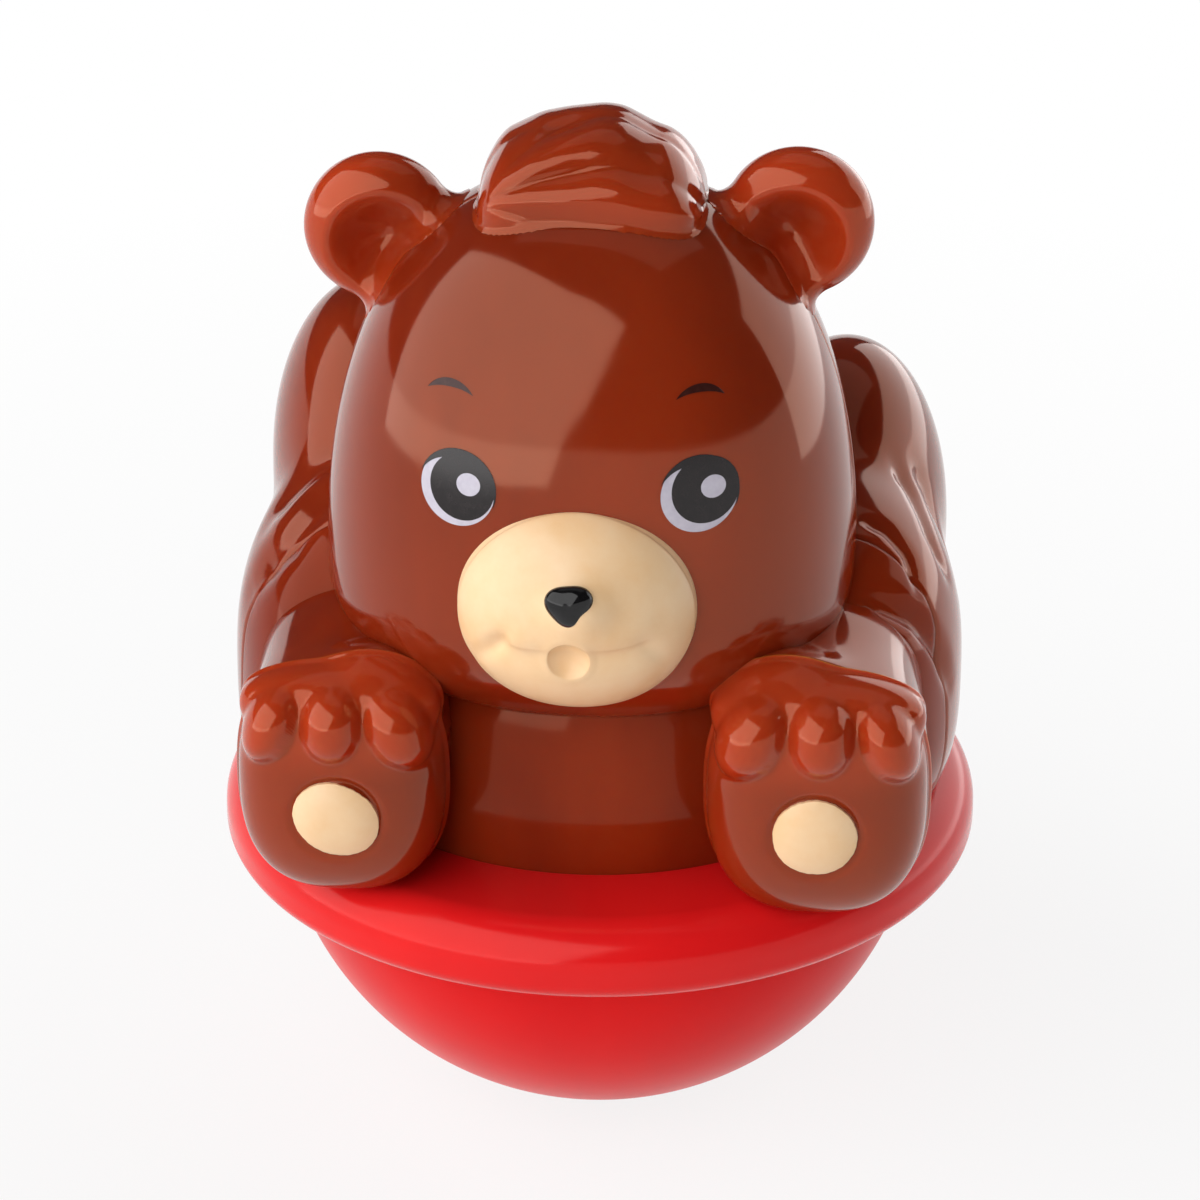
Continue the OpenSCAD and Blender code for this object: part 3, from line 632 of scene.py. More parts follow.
def print_ink(name, tone, edge, roughness=0.12):
    """Pad-printed ink on gloss plastic: nearly even, with the faint mottle that the pad leaves."""
    material, tree, output, place = new_material(name)
    if tree is None:
        return material
    mottle = noise(tree, place, size=0.8, detail=3, roughness=0.6)
    links = {"Base Color": two_tones(tree, mottle, tone, linear(edge), start=0.3, end=0.8),
             "Roughness": ranged(tree, mottle, roughness, roughness + 0.1)}
    surface(tree, output, links, ior=1.42)
    return material


def black_lacquer():
    """Gloss black lacquer, brushed on thick: a deep even black with a hard reflection."""
    return print_ink("black_lacquer_gloss", colours().black, "#161416", 0.05)


def plain_metal(name, light, deep, roughness, grain, depth):
    """Bare metal: cloudy tone, and grain of the casting, plating or polish in the gloss and the relief."""
    material, tree, output, place = new_material(name)
    if tree is None:
        return material
    cloud = noise(tree, place, size=grain, detail=5, roughness=0.6)
    links = {"Base Color": two_tones(tree, cloud, linear(deep), linear(light)),
             "Roughness": ranged(tree, cloud, roughness, roughness + 0.2),
             "Normal": relief(tree, cloud, strength=0.5, depth=depth)}
    surface(tree, output, links, metallic=1)
    return material


# Operators

class BEAR_OT_bowl(bpy.types.Operator):
    """Round-bottomed bowl with a small flat under it"""
    bl_idname = "bear.bowl"
    bl_label = "Bowl"

    def execute(self, context):
        s = sizes()
        radius, wall, flat = s["bowl_d"] / 2, s["wall"], s["flat_d"] / 2
        # Room under the deck, bevel of the lip, level share of the flat, and degrees that soften its edge
        gap, bevel, level_share, soft_turn = 0.1, 0.3, 0.93, 0.6
        middle = (0, np.sqrt(radius ** 2 - flat ** 2))
        lip = RIM_HIGH[2] - wall - gap
        start = np.degrees(np.arctan2(-middle[1], flat))
        outline = np.concatenate([
            [[0, 0], [flat / 2, 0], [flat * level_share, 0]],
            arc(middle, radius, start + soft_turn, 0, 120),
            [[radius, lip - bevel], [radius - bevel, lip], [radius - wall, lip]],
            arc(middle, radius - wall, 0, -90, 60)])
        outline[-1, 0] = 0
        satin = red_polypropylene("red_polypropylene_satin", roughness=0.3, gloss=1.2)
        make_piece("bowl_moulding", [lathe(outline)], satin, "base_bowl", slot="red_plastic")
        return {"FINISHED"}


class BEAR_OT_rim(bpy.types.Operator):
    """Rim with its deck, rounded lip and the channel under it"""
    bl_idname = "bear.rim"
    bl_label = "Rim and deck"

    def execute(self, context):
        s = sizes()
        radius, low, top = RIM_HIGH[0], RIM_LOW[2], RIM_HIGH[2]
        round_, edge, wall = s["rim_round"], s["rim_edge"], s["wall"]
        # Inner round of the lip, room round the bowl, then the skirt in the lip: its wall and its two bevels
        roll, gap, skirt, bevel, lead = 1, 0.15, 1.8, 0.4, 0.3
        inside, under = s["bowl_d"] / 2 + gap, top - wall
        deck = np.linspace(0, radius - round_, 40, endpoint=False)
        outline = np.concatenate([
            np.stack([deck, top + 0 * deck], -1),
            arc((radius - round_, top - round_), round_, 90, 0, 40),
            arc((radius - edge, low + edge), edge, 0, -90, 20),
            arc((radius - wall - roll, low + roll), roll, -90, -180, 8),
            [[radius - wall - 2 * roll, under - roll], [radius - wall - 3 * roll, under]],
            [[inside + skirt, under], [inside + skirt, low + bevel], [inside + skirt - bevel, low]],
            [[inside + lead, low], [inside, low + lead], [inside, under], [0, under]]])
        glossy = red_polypropylene("red_polypropylene_gloss", roughness=0.16, gloss=1.4)
        make_piece("rim_moulding", [lathe(outline, 320)], glossy, "base_rim", slot="red_plastic")
        return {"FINISHED"}


# Fur folds of the flanks: depth and width in millimetres, then points of the line on the skin
FOLDS = [
    (1.0, 3.2, [(-30, 0.5, 83), (-32.3, -0.6, 80.1), (-35.6, -2.6, 77.3), (-38.2, -4.4, 73.4)]),
    (1.2, 3.2, [(-30, -6, 80), (-33.4, -10.2, 76.6), (-35.7, -12, 73.9), (-39.9, -10.7, 67.9)]),
    (0.8, 1.8, [(34.6, 4, 79.6), (36.6, 1.8, 76.5), (38.8, -3.1, 73.4), (40.7, -4.5, 69.5)]),
    (0.7, 1.8, [(36.6, 6.6, 78.4), (38.1, 6.5, 75.2), (40.2, 4.5, 70), (41.5, 1, 66)]),
    (0.7, 1.3, [(30.9, -9.4, 78.2), (33.7, -9.3, 76.9), (36.2, -10.4, 74.3), (37.4, -12.5, 71.2)]),
    (1.2, 1.9, [(29.9, -17.7, 72.4), (33.9, -16.7, 71.2), (37.5, -14.9, 68.4), (40.3, -12.7, 63.4),
                (41.5, -10.9, 58.4)]),
]
# Part of a fold's half wave left out at each end, steepness of its fade, and groove width as a share
FOLD_CUT, FOLD_FADE, FOLD_SHARE = 0.08, 1.6, 0.8


def line_distance(points, line):
    """Least distance of points from a line of straight stretches, and the share along it there."""
    line = np.array(line)
    best, along = np.full(points.shape[:-1], np.inf), np.zeros(points.shape[:-1])
    for i in range(len(line) - 1):
        stretch = line[i + 1] - line[i]
        share = np.clip(((points - line[i]) @ stretch) / (stretch @ stretch), 0, 1)
        away = np.linalg.norm(points - line[i] - share[..., None] * stretch, axis=-1)
        along = np.where(away < best, (i + share) / (len(line) - 1), along)
        best = np.minimum(best, away)
    return best, along


def body_folds(points):
    """Fur folds on the flanks: smooth grooves along their lines, shallower towards the ends."""
    total = 0 * points[..., 0]
    for depth, width, line in FOLDS:
        away, along = line_distance(points, line)
        wave = np.sin(np.pi * (FOLD_CUT + (1 - 2 * FOLD_CUT) * along))
        total -= depth * np.clip(wave * FOLD_FADE, 0, 1) * bump_at(away, FOLD_SHARE * width)
    return total


def body_half(first, last, columns=280, rows=150, crowding=0.6, top_tilt=2):
    """Half of the body: rings along the outer skin between two turns, and back along the inner one."""
    middle = np.array([0, PART_Y, DECK_Z])
    share = np.linspace(0, 1, columns)
    turns = first + (last - first) * (share - crowding * np.sin(2 * np.pi * share) / (2 * np.pi))
    way = rays(UP, ACROSS, turns, np.radians(np.linspace(top_tilt, 90, rows)))
    reach = skin(body_value, middle, way, far=90)
    place = middle + reach[..., None] * way
    outer, inner = shell(middle, way, reach + body_folds(place) - seam_dip(place[..., 1] - PART_Y))
    return np.concatenate([outer, inner[:, ::-1]], 1)


class BEAR_OT_body(bpy.types.Operator):
    """Chest and back of the body, with haunches, hind feet and tail"""
    bl_idname = "bear.body"
    bl_label = "Body shells"

    def execute(self, context):
        chest, back = body_half(np.pi, 2 * np.pi), body_half(0, np.pi)
        make_piece("chest_moulding", [chest], styrene_shade_painted(), "chest_shell", slot="brown_plastic")
        make_piece("back_moulding", [back], brown_styrene(), "back_shell", slot="brown_plastic")
        return {"FINISHED"}


class BEAR_OT_arms(bpy.types.Operator):
    """Arms from the shoulders to the seams of the palms"""
    bl_idname = "bear.arms"
    bl_label = "Arms"

    def execute(self, context):
        way = rays(BACK, ACROSS, circle(220), eased(110, np.pi / 2))
        for side, word in SIDES:
            middle = paw_mid(side)
            reach = skin(lambda p: arm_value(p, side), middle, way, far=60)
            skins = shell(middle, way, reach - seam_dip(reach * way[..., 1]))
            make_piece(word + "_arm_moulding", [closed_shell(*skins)], brown_styrene(), word + "_arm",
                       slot="brown_plastic")
        return {"FINISHED"}


# Moat round a pad: depth, width and distance from the pad; lip along the seam of a palm: height and width
MOAT_DEEP, MOAT_W, MOAT_AWAY = 0.45, 0.5, 0.3
LIP_RISE, LIP_W = 0.4, 0.5


class BEAR_OT_palms(bpy.types.Operator):
    """Palms with three toes each"""
    bl_idname = "bear.palms"
    bl_label = "Palms and toes"

    def execute(self, context):
        pad = sizes()["pad_d"] / 2
        way = rays(FRONT, ACROSS, circle(280), np.linspace(0, np.pi / 2, 150))
        in_front = way[..., 1] < -0.4
        for side, word in SIDES:
            middle = paw_mid(side)
            reach = skin(lambda p: palm_value(p, side), middle, way, far=40)
            place = reach[..., None] * way
            away = np.hypot(place[..., 0], place[..., 2] + PAD_DROP) - pad
            moat = MOAT_DEEP * bump_at(away - MOAT_AWAY, MOAT_W) * in_front
            lip = LIP_RISE * bump_at(place[..., 1], LIP_W)
            skins = shell(middle, way, reach, lip - moat)
            make_piece(word + "_palm_moulding", [closed_shell(*skins)], palm_glow_painted_styrene(), word + "_palm",
                       slot="brown_plastic")
        return {"FINISHED"}


# Pads: power of the dome, depths of the edge and the root, then how oval the left one is and its turn
PAD_POWER, PAD_EDGE, PAD_ROOT = 2.6, 0.15, 1
PAD_OVAL, PAD_TURN = 0.06, 0.6


class BEAR_OT_pads(bpy.types.Operator):
    """Domed pads of the palms"""
    bl_idname = "bear.pads"
    bl_label = "Paw pads"

    def execute(self, context):
        s, turn = sizes(), circle(160)
        share = np.concatenate([np.linspace(0, 1, 40), [1, 1, 0]])[:, None]
        rise = s["pad_dome"] * (1 - share ** PAD_POWER)
        rise[-3:, 0] = -PAD_EDGE, -PAD_ROOT, -PAD_ROOT
        for side, word in SIDES:
            ragged = 0.004 * np.sin(5 * turn + side) + 0.003 * (np.sin(13 * turn) + np.sin(29 * turn + 1))
            oval = 1 + (PAD_OVAL * np.cos(2 * (turn + PAD_TURN)) if side == LEFT else 0)
            radius = s["pad_d"] / 2 * share * (oval + ragged * share ** 6)
            x, z = radius * np.cos(turn), radius * np.sin(turn) - PAD_DROP
            front = front_depth(x, z, paw_half(side, s["palm_deep"]), PAW_POWER)
            grid = paw_mid(side) + np.stack([x, -front - rise, z], -1)
            make_piece(word + "_pad_coat", [grid], cream_coat(), word + "_paw_pad", slot="cream_plastic")
        return {"FINISHED"}


class BEAR_OT_head(bpy.types.Operator):
    """Face and back of the head"""
    bl_idname = "bear.head"
    bl_label = "Head shells"

    def execute(self, context):
        middle = head_mid()
        for axis, name, node in ((FRONT, "face_moulding", "face_shell"),
                                 (BACK, "nape_moulding", "head_back_shell")):
            way = rays(axis, ACROSS, circle(300), eased(140, np.pi / 2))
            reach = 1 / head_value(middle + way)
            skins = shell(middle, way, reach - seam_dip(reach * way[..., 1]))
            make_piece(name, [closed_shell(*skins)], brown_styrene(), node, slot="brown_plastic")
        return {"FINISHED"}


# Ears: distance behind the parting plane, powers of the round and of the flanks, then depth of the dish,
# its shift towards the head and its share of the ear
EAR_BEHIND, EAR_ROUND, EAR_FLANK = 3, 0.9, 0.85
DISH_DEEP, DISH_SHIFT, DISH_SHARE = 5.6, 1.2, 0.82


class BEAR_OT_ears(bpy.types.Operator):
    """Round ears with a rolled rim and a dish"""
    bl_idname = "bear.ears"
    bl_label = "Ears"

    def execute(self, context):
        s = sizes()
        radius, thick = s["ear_d"] / 2, s["ear_t"] / 2
        tilt, turn = np.meshgrid(np.linspace(0, np.pi, 150), circle(220), indexing="ij")
        reach = radius * np.abs(np.sin(tilt)) ** EAR_ROUND
        x, z = reach * np.cos(turn), reach * np.sin(turn)
        flank = -thick * signed_power(np.cos(tilt), EAR_FLANK)
        for side, word in SIDES:
            low, high = node_box(word + "_ear")
            outside = low[0] if side == LEFT else high[0]
            middle = np.array([outside - side * radius, PART_Y + EAR_BEHIND, high[2] - radius])
            inward = (head_mid() - middle)[[0, 2]]
            shift = DISH_SHIFT * inward / np.linalg.norm(inward)
            away = np.hypot(x - shift[0], z - shift[1]) / (DISH_SHARE * radius)
            dish = DISH_DEEP * np.clip(1 - away ** 2, 0, None) ** 2
            y = flank + np.where(tilt < np.pi / 2, dish, 0)
            grid = rooted(middle + np.stack([x, y, z], -1), head_value, s["ear_root"])
            make_piece(word + "_ear_moulding", [grid], styrene_glow_painted(), word + "_ear", slot="brown_plastic")
        return {"FINISHED"}


# Outline of the tuft from the front: places from its left to its right end, and heights there, both as shares
TUFT_PLACES = (-1, -0.97, -0.92, -0.8, -0.47, -0.24, 0.09, 0.26, 0.53, 0.69, 0.82, 0.94, 1)
TUFT_HEIGHTS = (0, 0.2, 0.37, 0.6, 0.82, 0.89, 0.95, 0.92, 0.72, 0.65, 0.5, 0.25, 0)


def tuft_ridge(share):
    """Height of the tuft's ridge: its outline with the corners rounded by a mean over near places."""
    near = np.linspace(-0.06, 0.06, 9)
    spread = np.interp(np.abs(share), (0.9, 1), (1, 0))[..., None] * near
    return np.interp(share[..., None] + spread, TUFT_PLACES, TUFT_HEIGHTS).mean(-1)


# Tuft: power of its round, angle from strand to strand, first strand, softness and level of the ridges,
# and lift of the hair behind the ridge
TUFT_ROUND, STRAND_TURN, STRAND_FIRST, STRAND_SOFT, STRAND_LEVEL, HAIR_LIFT = 0.8, 0.46, 0.3, 0.03, 0.75, 0.35


class BEAR_OT_tuft(bpy.types.Operator):
    """Tuft of hair in strands that fan out from its left root"""
    bl_idname = "bear.tuft"
    bl_label = "Hair tuft"

    def execute(self, context):
        s = sizes()
        root = s["tuft_rise"] / 3
        middle = head_mid() + np.array([0, 0, s["crown_rise"] - root])
        wide, deep, tall = s["tuft_w"] / 2, s["tuft_len"] / 2, s["tuft_rise"] + root
        share, roll = np.meshgrid(np.cos(np.linspace(np.pi, 0, 220)), circle(300), indexing="ij")
        end = np.clip(1 - np.abs(share) ** 5, 0, None) ** 0.2
        rise = np.where(roll < np.pi, tuft_ridge(share), end / 2)
        x = wide * share
        y = -deep * end * signed_power(np.cos(roll), TUFT_ROUND)
        z = tall * rise * signed_power(np.sin(roll), TUFT_ROUND)
        up = roll / (np.pi / 2)
        fan = np.arctan2(13 * (up - 0.22), x + wide + 1.5 + 3 * up)
        front = step_at(0.98 - up, 0.03) * step_at(up - 0.05, 0.1) * step_at(x + 0.8 * wide, 1)
        waves = np.sqrt(np.sin(np.pi * (fan + STRAND_FIRST) / STRAND_TURN) ** 2 + STRAND_SOFT) - STRAND_LEVEL
        swell = s["strand"] * waves * front * np.clip((x + wide) / 9, 0.2, 1.2)
        swell = swell + HAIR_LIFT * step_at(up - 1, 0.02) * step_at(3 - up, 0.1)
        place = np.stack([x, y, z], -1)
        square = unit(place / np.array([wide * 2, deep, tall]) ** 2)
        grid = rooted(middle + place + (swell * end)[..., None] * square, head_value, 0.6)
        make_piece("tuft_moulding", [grid], styrene_glow_painted(), "hair_tuft", slot="brown_plastic")
        return {"FINISHED"}


# Relief of the muzzle in millimetres
KNOB_RISE, CHEEK_RISE, CHIN_DIP, DIMPLE_DEEP, DIMPLE_RIM, EDGE_DROP = 1.9, 1, 0.4, 1.5, 0.06, 0.3
# Depth of the corner of the smile on the left and on the right
CORNER_LEFT, CORNER_RIGHT = 0.9, 0.3


def muzzle_relief(u, v):
    """Relief at shares of the half sizes: nose knob, smile line under the cheeks, mouth dimple, edge step."""
    knob = KNOB_RISE * bump_at(np.hypot(u - 0.06, v - 0.24), 0.24)
    mouth_u, corner_v = u + 0.03, v + 0.2
    line = v + 0.15 - 0.13 * u ** 2 - 0.04 * u - 0.05 * bump_at(mouth_u, 0.2)
    ends = step_at(0.6 - np.abs(u), 0.11) * (1 - 0.6 * bump_at(mouth_u, 0.22))
    cheeks = CHEEK_RISE * ends * np.exp(-np.abs(line) / 0.25) * step_at(line, 0.11)
    chin = CHIN_DIP * ends * step_at(np.abs(mouth_u) - 0.16, 0.05) * bump_at(line + 0.06, 0.15)
    away = np.hypot((np.abs(u) - 0.64 + 0.5 * corner_v) / 0.75, corner_v / 1.5)
    corner = np.where(u < 0, CORNER_LEFT, CORNER_RIGHT) * bump_at(away, 0.12)
    mouth = np.hypot(mouth_u / 0.17, (v + 0.25) / 0.2)
    dimple = DIMPLE_DEEP * np.clip(1 - mouth ** 2, 0, None) ** 0.7 - DIMPLE_RIM * bump_at(mouth - 1.15, 0.2)
    edge = EDGE_DROP * step_at(np.hypot(u, v) - 0.965, 0.008)
    return knob + cheeks - chin - corner - dimple - edge


def muzzle_form():
    """Middle and half sizes of the muzzle, whose root lies in the face."""
    s = sizes()
    deep = s["muzzle_out"] * 1.6
    middle = np.array([0, MUZZLE_LOW[1] + deep, (MUZZLE_LOW[2] + MUZZLE_HIGH[2]) / 2])
    return middle, np.array([s["muzzle_w"] / 2, deep, s["muzzle_tall"] / 2])


def muzzle_front(x, z):
    """Depth of the muzzle's skin with its relief at a place seen from the front."""
    middle, half = muzzle_form()
    up = z - middle[2]
    return middle[1] - front_depth(x, up, half, MUZZLE_POWER) - muzzle_relief(x / half[0], up / half[2])


class BEAR_OT_muzzle(bpy.types.Operator):
    """Cream muzzle with cheeks, smile and mouth"""
    bl_idname = "bear.muzzle"
    bl_label = "Muzzle"

    def execute(self, context):
        middle, half = muzzle_form()
        way = rays(FRONT, ACROSS, circle(360), np.linspace(0, np.pi / 2, 220))
        reach = 1 / rounded(way, half, MUZZLE_POWER)
        place = reach[..., None] * way
        reach = reach + muzzle_relief(place[..., 0] / half[0], place[..., 2] / half[2])
        grid = middle + reach[..., None] * way
        grid = np.concatenate([grid, np.broadcast_to(middle, grid[:1].shape)])
        make_piece("muzzle_coat", [grid], cream_coat(), "muzzle", slot="cream_plastic")
        return {"FINISHED"}


# Nose: shift aside and up, depth of its middle in the muzzle, half depth, height as a share of its width,
# then how far its three lobes stand out and their turn
NOSE_ASIDE, NOSE_UP, NOSE_SUNK, NOSE_HALF, NOSE_SHARE = -0.2, 0.7, 0.5, 1.5, 0.95
LOBE_RISE, LOBE_TURN = 0.085, np.pi / 2 - 0.12


class BEAR_OT_nose(bpy.types.Operator):
    """Gloss black nose, a rounded triangle with its point down"""
    bl_idname = "bear.nose"
    bl_label = "Nose"

    def execute(self, context):
        radius = sizes()["nose_w"] / 2
        low, high = node_box("nose")
        z = (low[2] + high[2]) / 2 + NOSE_UP
        middle = np.array([NOSE_ASIDE, muzzle_front(NOSE_ASIDE, z) + NOSE_SUNK, z])
        half = np.array([radius, NOSE_HALF, NOSE_SHARE * radius])
        way = rays(FRONT, ACROSS, circle(160), np.linspace(0, np.pi, 90))
        turn = np.arctan2(way[..., 2], way[..., 0])
        lobes = 1 + LOBE_RISE * np.cos(3 * (turn + LOBE_TURN)) * (1 - way[..., 1] ** 2)
        grid = middle + way * (lobes / rounded(way, half, ELLIPSOID))[..., None]
        make_piece("nose_coat", [grid], black_lacquer(), "nose", slot="black_plastic")
        return {"FINISHED"}


# Depth of the back of a print under the skin
PRINT_ROOT = 0.1


def on_face(x, z, lift):
    """Points of the face at offsets from the middle of the head, a lift in front of its skin."""
    s = sizes()
    tall = np.where(z < 0, s["chin_drop"], s["crown_rise"])
    front = front_depth(x, z, (s["head_w"] / 2, s["face_deep"], tall), HEAD_POWER)
    return head_mid() + np.stack([x, -front - lift, z], -1)


def print_disc(middle, radius, lift):
    """A printed disc on the face: rings of points round its middle, with a back just under the skin."""
    turn = circle(96)
    share = np.concatenate([np.linspace(0, 1, 16), [1, 0]])[:, None]
    x, z = middle[0] + radius[0] * share * np.cos(turn), middle[1] + radius[1] * share * np.sin(turn)
    depth = np.full(x.shape, lift)
    depth[-2:] = -PRINT_ROOT
    return on_face(x, z, depth)


def print_band(middle, radius, start, end, thick, lift):
    """A printed crescent on the face: an arc between two angles, whose thickness follows its share."""
    share = np.linspace(0, 1, 90)
    turn = np.radians(start + (end - start) * share)[:, None]
    over = np.array([0, 0.25, 0.5, 0.75, 1, 1, 0, 0])
    depth = np.array([lift] * 5 + [-PRINT_ROOT, -PRINT_ROOT, lift])
    inward = radius - thick(share)[:, None] * over
    x, z = middle[0] + inward * np.cos(turn), middle[1] + inward * np.sin(turn)
    return on_face(x, z, depth + 0 * x)


# Eyes: name, middle on the face, offsets of the white, the pupil and the light, and middle of the brow's arc
EYES = [
    ("left", (-13.6, 16.6), (0.5, 0.25), (1.0, 0.45), (1.7, 0.85), (-14.1, 25.1)),
    ("right", (13.1, 16.6), (0.15, 0.3), (0.8, 0.75), (1.65, 1.05), (13.1, 25.4)),
]
# Eye diameter that the sizes belong to, and half sizes of the discs
EYE_NOMINAL, WHITE_HALF, PUPIL_HALF, LIGHT_HALF = 8.6, (4.15, 4.15), (3.62, 3.68), (1.33, 1.25)
# Lid over the eye and brow: radius, first and last angle in degrees, and thickness
LID_R, LID_START, LID_END, LID_T = 4.3, 163, -24, 1.15
BROW_R, BROW_START, BROW_END, BROW_T = 3.1, 146, 34, 0.85


def lid_share(share):
    """Thickness of the lid along it: quickly up to full, and slowly down to nothing."""
    return np.minimum(share * 2.8, 1) * np.clip((1 - share) * 2.5, 0, 1)


class BEAR_OT_eyes(bpy.types.Operator):
    """Printed eyes and brows"""
    bl_idname = "bear.eyes"
    bl_label = "Eyes and brows"

    def execute(self, context):
        s, c = sizes(), colours()
        white = print_ink("lilac_white_ink_printed", c.eye_white, "#BFB9C8", 0.2)
        dark = print_ink("dark_ink_printed", c.pupil, "#241C1D")
        brown = print_ink("brown_ink_printed", c.brow, "#40201A", 0.15)
        scale, ink = s["eye_d"] / EYE_NOMINAL, s["ink"]
        for word, eye, *offsets, arch in EYES:
            mids = np.array(eye) + scale * np.array(offsets)
            halves = scale * np.array([WHITE_HALF, PUPIL_HALF, LIGHT_HALF])
            lifts = ink, 2 * ink, 3 * ink
            disc, pupil, light = [print_disc(*part) for part in zip(mids, halves, lifts)]
            lid = print_band(mids[0], LID_R * scale, LID_START, LID_END,
                             lambda share: scale * LID_T * lid_share(share), 2.5 * ink)
            brow = print_band(arch, BROW_R, BROW_START, BROW_END,
                              lambda share: BROW_T * np.sin(np.pi * share) ** 0.8, ink)
            make_piece(word + "_eye_white", [disc], white, slot="white_plastic")
            make_piece(word + "_eye_dark", [pupil, lid], dark, slot="black_plastic")
            make_piece(word + "_eye_light", [light], white, slot="white_plastic")
            make_piece(word + "_brow", [brow], brown, slot="black_plastic")
        return {"FINISHED"}


class BEAR_OT_inner(bpy.types.Operator):
    """Finishes of the ballast, the chime, the post and the screws inside"""
    bl_idname = "bear.inner"
    bl_label = "Inner pieces"

    def execute(self, context):
        iron = plain_metal("grey_iron_cast", "#4A4A4C", "#2E2E30", 0.55, 1.5, 0.15)
        zinc = plain_metal("steel_zinc_plated", "#C9CCD0", "#9DA2A8", 0.25, 2, 0.02)
        brass = plain_metal("brass_polished", "#D9B45A", "#B98F3C", 0.15, 4, 0.01)
        white = plain_polypropylene("white_polypropylene_moulded", "#ECECE8", "#E0E0DC", 0.35, 0.1)
        grey = plain_polypropylene("grey_polypropylene_moulded", "#777A80", "#6B6E74", 0.4, 0.05)
        finishes = {"ballast_weight": iron, "ballast_cap": grey, "neck_post": brown_styrene(),
                    "bell_hanger": white, "bell_cup": brass}
        finishes |= dict.fromkeys(("ballast_screws", "body_screws", "deck_screws", "bell_washer",
                                   "clapper_pin", "bell_clapper"), zinc)
        for node, material in finishes.items():
            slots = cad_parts[node].data.materials
            slots.clear()
            slots.append(material)
        return {"FINISHED"}


# Point above the floor that the softboxes face, in metres
LAMP_TARGET = Vector((0, 0, 0.07))
# Softboxes: name, azimuth and elevation in degrees, then distance, width and height in metres
SOFTBOXES = (
    ("key_softbox", -50, 29, 1.1, 2.2, 1.5),
    ("right_softbox", 130, 16, 0.5, 0.74, 0.42),
    ("top_softbox", 160, 75, 1.2, 1.2, 0.9),
)
# Floor in metres: radius, rise of its far edge, then the distances between which its own white comes up
FLOOR_R, FLOOR_RISE, WHITE_FROM, WHITE_TO = 3, 0.35, 0.07, 0.3
# Share of the floor's own white near the bear, where the shadow lies
WHITE_NEAR = 0.85


def outlook(azimuth, elevation):
    """Direction from the bear at an azimuth from the front towards the right, and an elevation."""
    flat = np.cos(elevation)
    return Vector((np.sin(azimuth) * flat, -np.cos(azimuth) * flat, np.sin(elevation)))


def set_up(name, data, target, back, distance):
    """A camera or a lamp at a distance from its target, which it faces."""
    item = bpy.data.objects.new(name, data)
    item.location = target + distance * back
    item.rotation_mode = "QUATERNION"
    item.rotation_quaternion = back.to_track_quat("Z", "Y")
    bpy.context.scene.collection.objects.link(item)
    return item


def softbox(name, azimuth, elevation, distance, width, height, brightness):
    """An area light that faces the bear, with its power worked out from its brightness and its area."""
    lamp = bpy.data.lights.new(name, "AREA")
    lamp.shape, lamp.size, lamp.size_y = "RECTANGLE", width, height
    lamp.energy = brightness * np.pi * width * height
    back = outlook(np.radians(azimuth), np.radians(elevation))
    set_up(name, lamp, LAMP_TARGET, back, distance).visible_camera = False


def worked_out(tree, operation, first, second):
    """A math node's result from two values."""
    node = add_node(tree, "ShaderNodeMath", {"Value": first}, operation=operation)
    tree.links.new(second, node.inputs[1])
    return node.outputs["Value"]


def floor_paper():
    """Pale paper that takes the shadow and looks nearly white, also in a reflection or through glass."""
    material, tree, output, place = new_material("studio_paper_pale")
    path = add_node(tree, "ShaderNodeLightPath").outputs
    seen = worked_out(tree, "MAXIMUM", path["Is Camera Ray"], path["Is Glossy Ray"])
    seen = worked_out(tree, "MAXIMUM", seen, path["Is Transmission Ray"])
    away = add_node(tree, "ShaderNodeVectorMath", {"Vector": place}, operation="LENGTH").outputs["Value"]
    white = ranged(tree, away, WHITE_NEAR, 1, WHITE_FROM, WHITE_TO)
    lit = add_node(tree, "ShaderNodeBsdfDiffuse", color=(*colours().floor, 1))
    even = add_node(tree, "ShaderNodeEmission", color=(1, 1, 1, 1), strength=1)
    mix = add_node(tree, "ShaderNodeMixShader", {"Fac": worked_out(tree, "MULTIPLY", seen, white)})
    tree.links.new(lit.outputs["BSDF"], mix.inputs[1])
    tree.links.new(even.outputs["Emission"], mix.inputs[2])
    tree.links.new(mix.outputs["Shader"], output.inputs["Surface"])
    return material


def make_floor(rings=12, columns=96):
    """A round floor whose far edge turns up, so that low views end in white too."""
    radius = FLOOR_R * np.append(np.linspace(0, 1, rings), 1)
    rise = np.append(np.zeros(rings), FLOOR_RISE)
    disc = lathe(np.stack([radius, rise], -1), columns)
    quads, _ = ring_faces(disc)
    mesh = bpy.data.meshes.new("floor")
    mesh.from_pydata(disc.reshape(-1, 3).tolist(), [], quads[:, ::-1].tolist())
    mesh.materials.append(floor_paper())
    floor = bpy.data.objects.new("floor", mesh)
    bpy.context.scene.collection.objects.link(floor)


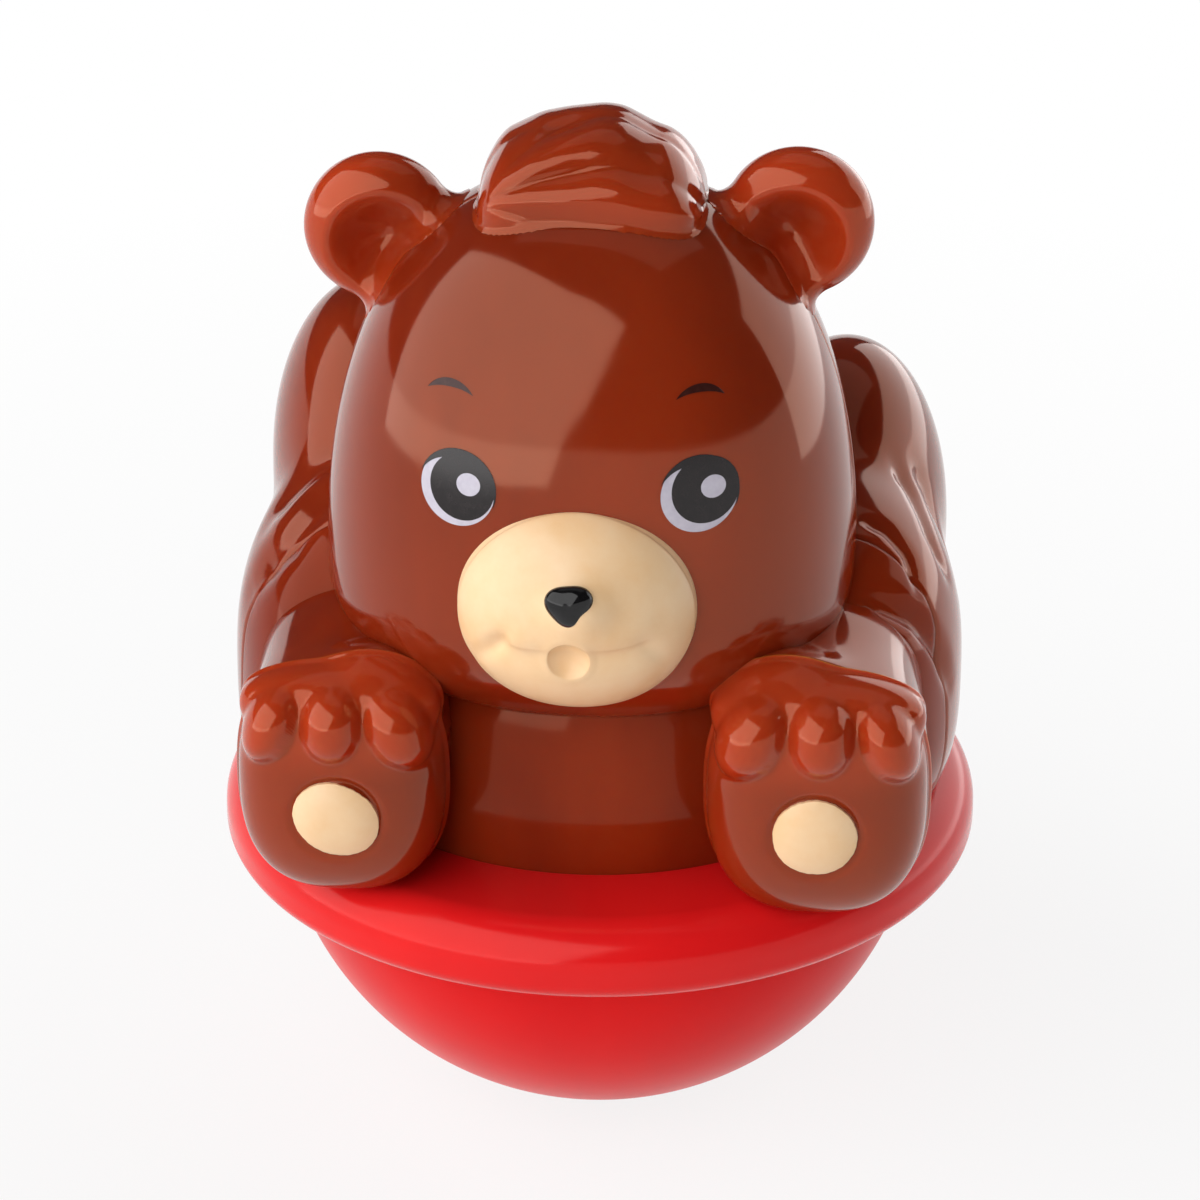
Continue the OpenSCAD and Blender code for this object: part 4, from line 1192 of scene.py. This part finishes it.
class BEAR_OT_stage(bpy.types.Operator):
    """Camera, pale floor, softboxes and a dim room"""
    bl_idname = "bear.stage"
    bl_label = "Stage"

    def execute(self, context):
        scene, g, s = context.scene, context.scene.bear_stage, sizes()
        scene.view_settings.view_transform = "Standard"
        back = outlook(g.azimuth, g.elevation)
        across = Vector((np.cos(g.azimuth), np.sin(g.azimuth), 0))
        bowl_mid = Vector((0, 0, np.sqrt((s["bowl_d"] / 2) ** 2 - (s["flat_d"] / 2) ** 2) * MM))
        target = bowl_mid + g.target_rise * back.cross(across)
        camera = bpy.data.cameras.new("camera")
        camera.lens = camera.sensor_width * g.distance / g.view_w
        camera.clip_start, camera.clip_end = 0.01, 20
        scene.camera = set_up("camera", camera, target, back, g.distance)

        make_floor()
        scene.world = bpy.data.worlds.new("studio")
        scene.world.use_nodes = True
        tree = scene.world.node_tree
        tree.nodes.clear()
        room = add_node(tree, "ShaderNodeBackground", color=(1, 1, 1, 1), strength=g.room)
        add_node(tree, "ShaderNodeOutputWorld", {"Surface": room.outputs["Background"]})
        for place, brightness in zip(SOFTBOXES, (g.key, g.side, g.top)):
            softbox(*place, brightness)
        return {"FINISHED"}


class BEAR_PT_panel(bpy.types.Panel):
    """Buttons for each piece, with the sizes, the colours and the stage"""
    bl_idname = "BEAR_PT_panel"
    bl_label = "Roly-poly bear"
    bl_space_type = "VIEW_3D"
    bl_region_type = "UI"
    bl_category = "Roly-poly"

    def draw(self, context):
        for operator in PIECES:
            self.layout.operator(operator.bl_idname)
        for group in (context.scene.bear_sizes, context.scene.bear_colours, context.scene.bear_stage):
            box = self.layout.box()
            for name in type(group).__annotations__:
                box.prop(group, name)


GROUPS = (BearSizes, BearColours, BearStage)
PIECES = (BEAR_OT_stage, BEAR_OT_bowl, BEAR_OT_rim, BEAR_OT_body, BEAR_OT_arms, BEAR_OT_palms, BEAR_OT_pads,
          BEAR_OT_head, BEAR_OT_ears, BEAR_OT_tuft, BEAR_OT_muzzle, BEAR_OT_nose, BEAR_OT_eyes, BEAR_OT_inner)


def register():
    """Registers the classes and hangs the property groups on the scene."""
    for kind in (*GROUPS, *PIECES, BEAR_PT_panel):
        bpy.utils.register_class(kind)
    bpy.types.Scene.bear_sizes = bpy.props.PointerProperty(type=BearSizes)
    bpy.types.Scene.bear_colours = bpy.props.PointerProperty(type=BearColours)
    bpy.types.Scene.bear_stage = bpy.props.PointerProperty(type=BearStage)


def unregister():
    """Takes back what register did."""
    del bpy.types.Scene.bear_sizes, bpy.types.Scene.bear_colours, bpy.types.Scene.bear_stage
    for kind in (BEAR_PT_panel, *reversed(PIECES), *reversed(GROUPS)):
        bpy.utils.unregister_class(kind)


def main():
    register()
    for operator in PIECES:
        module, name = operator.bl_idname.split(".")
        getattr(getattr(bpy.ops, module), name)()


if __name__ == "__main__":
    main()
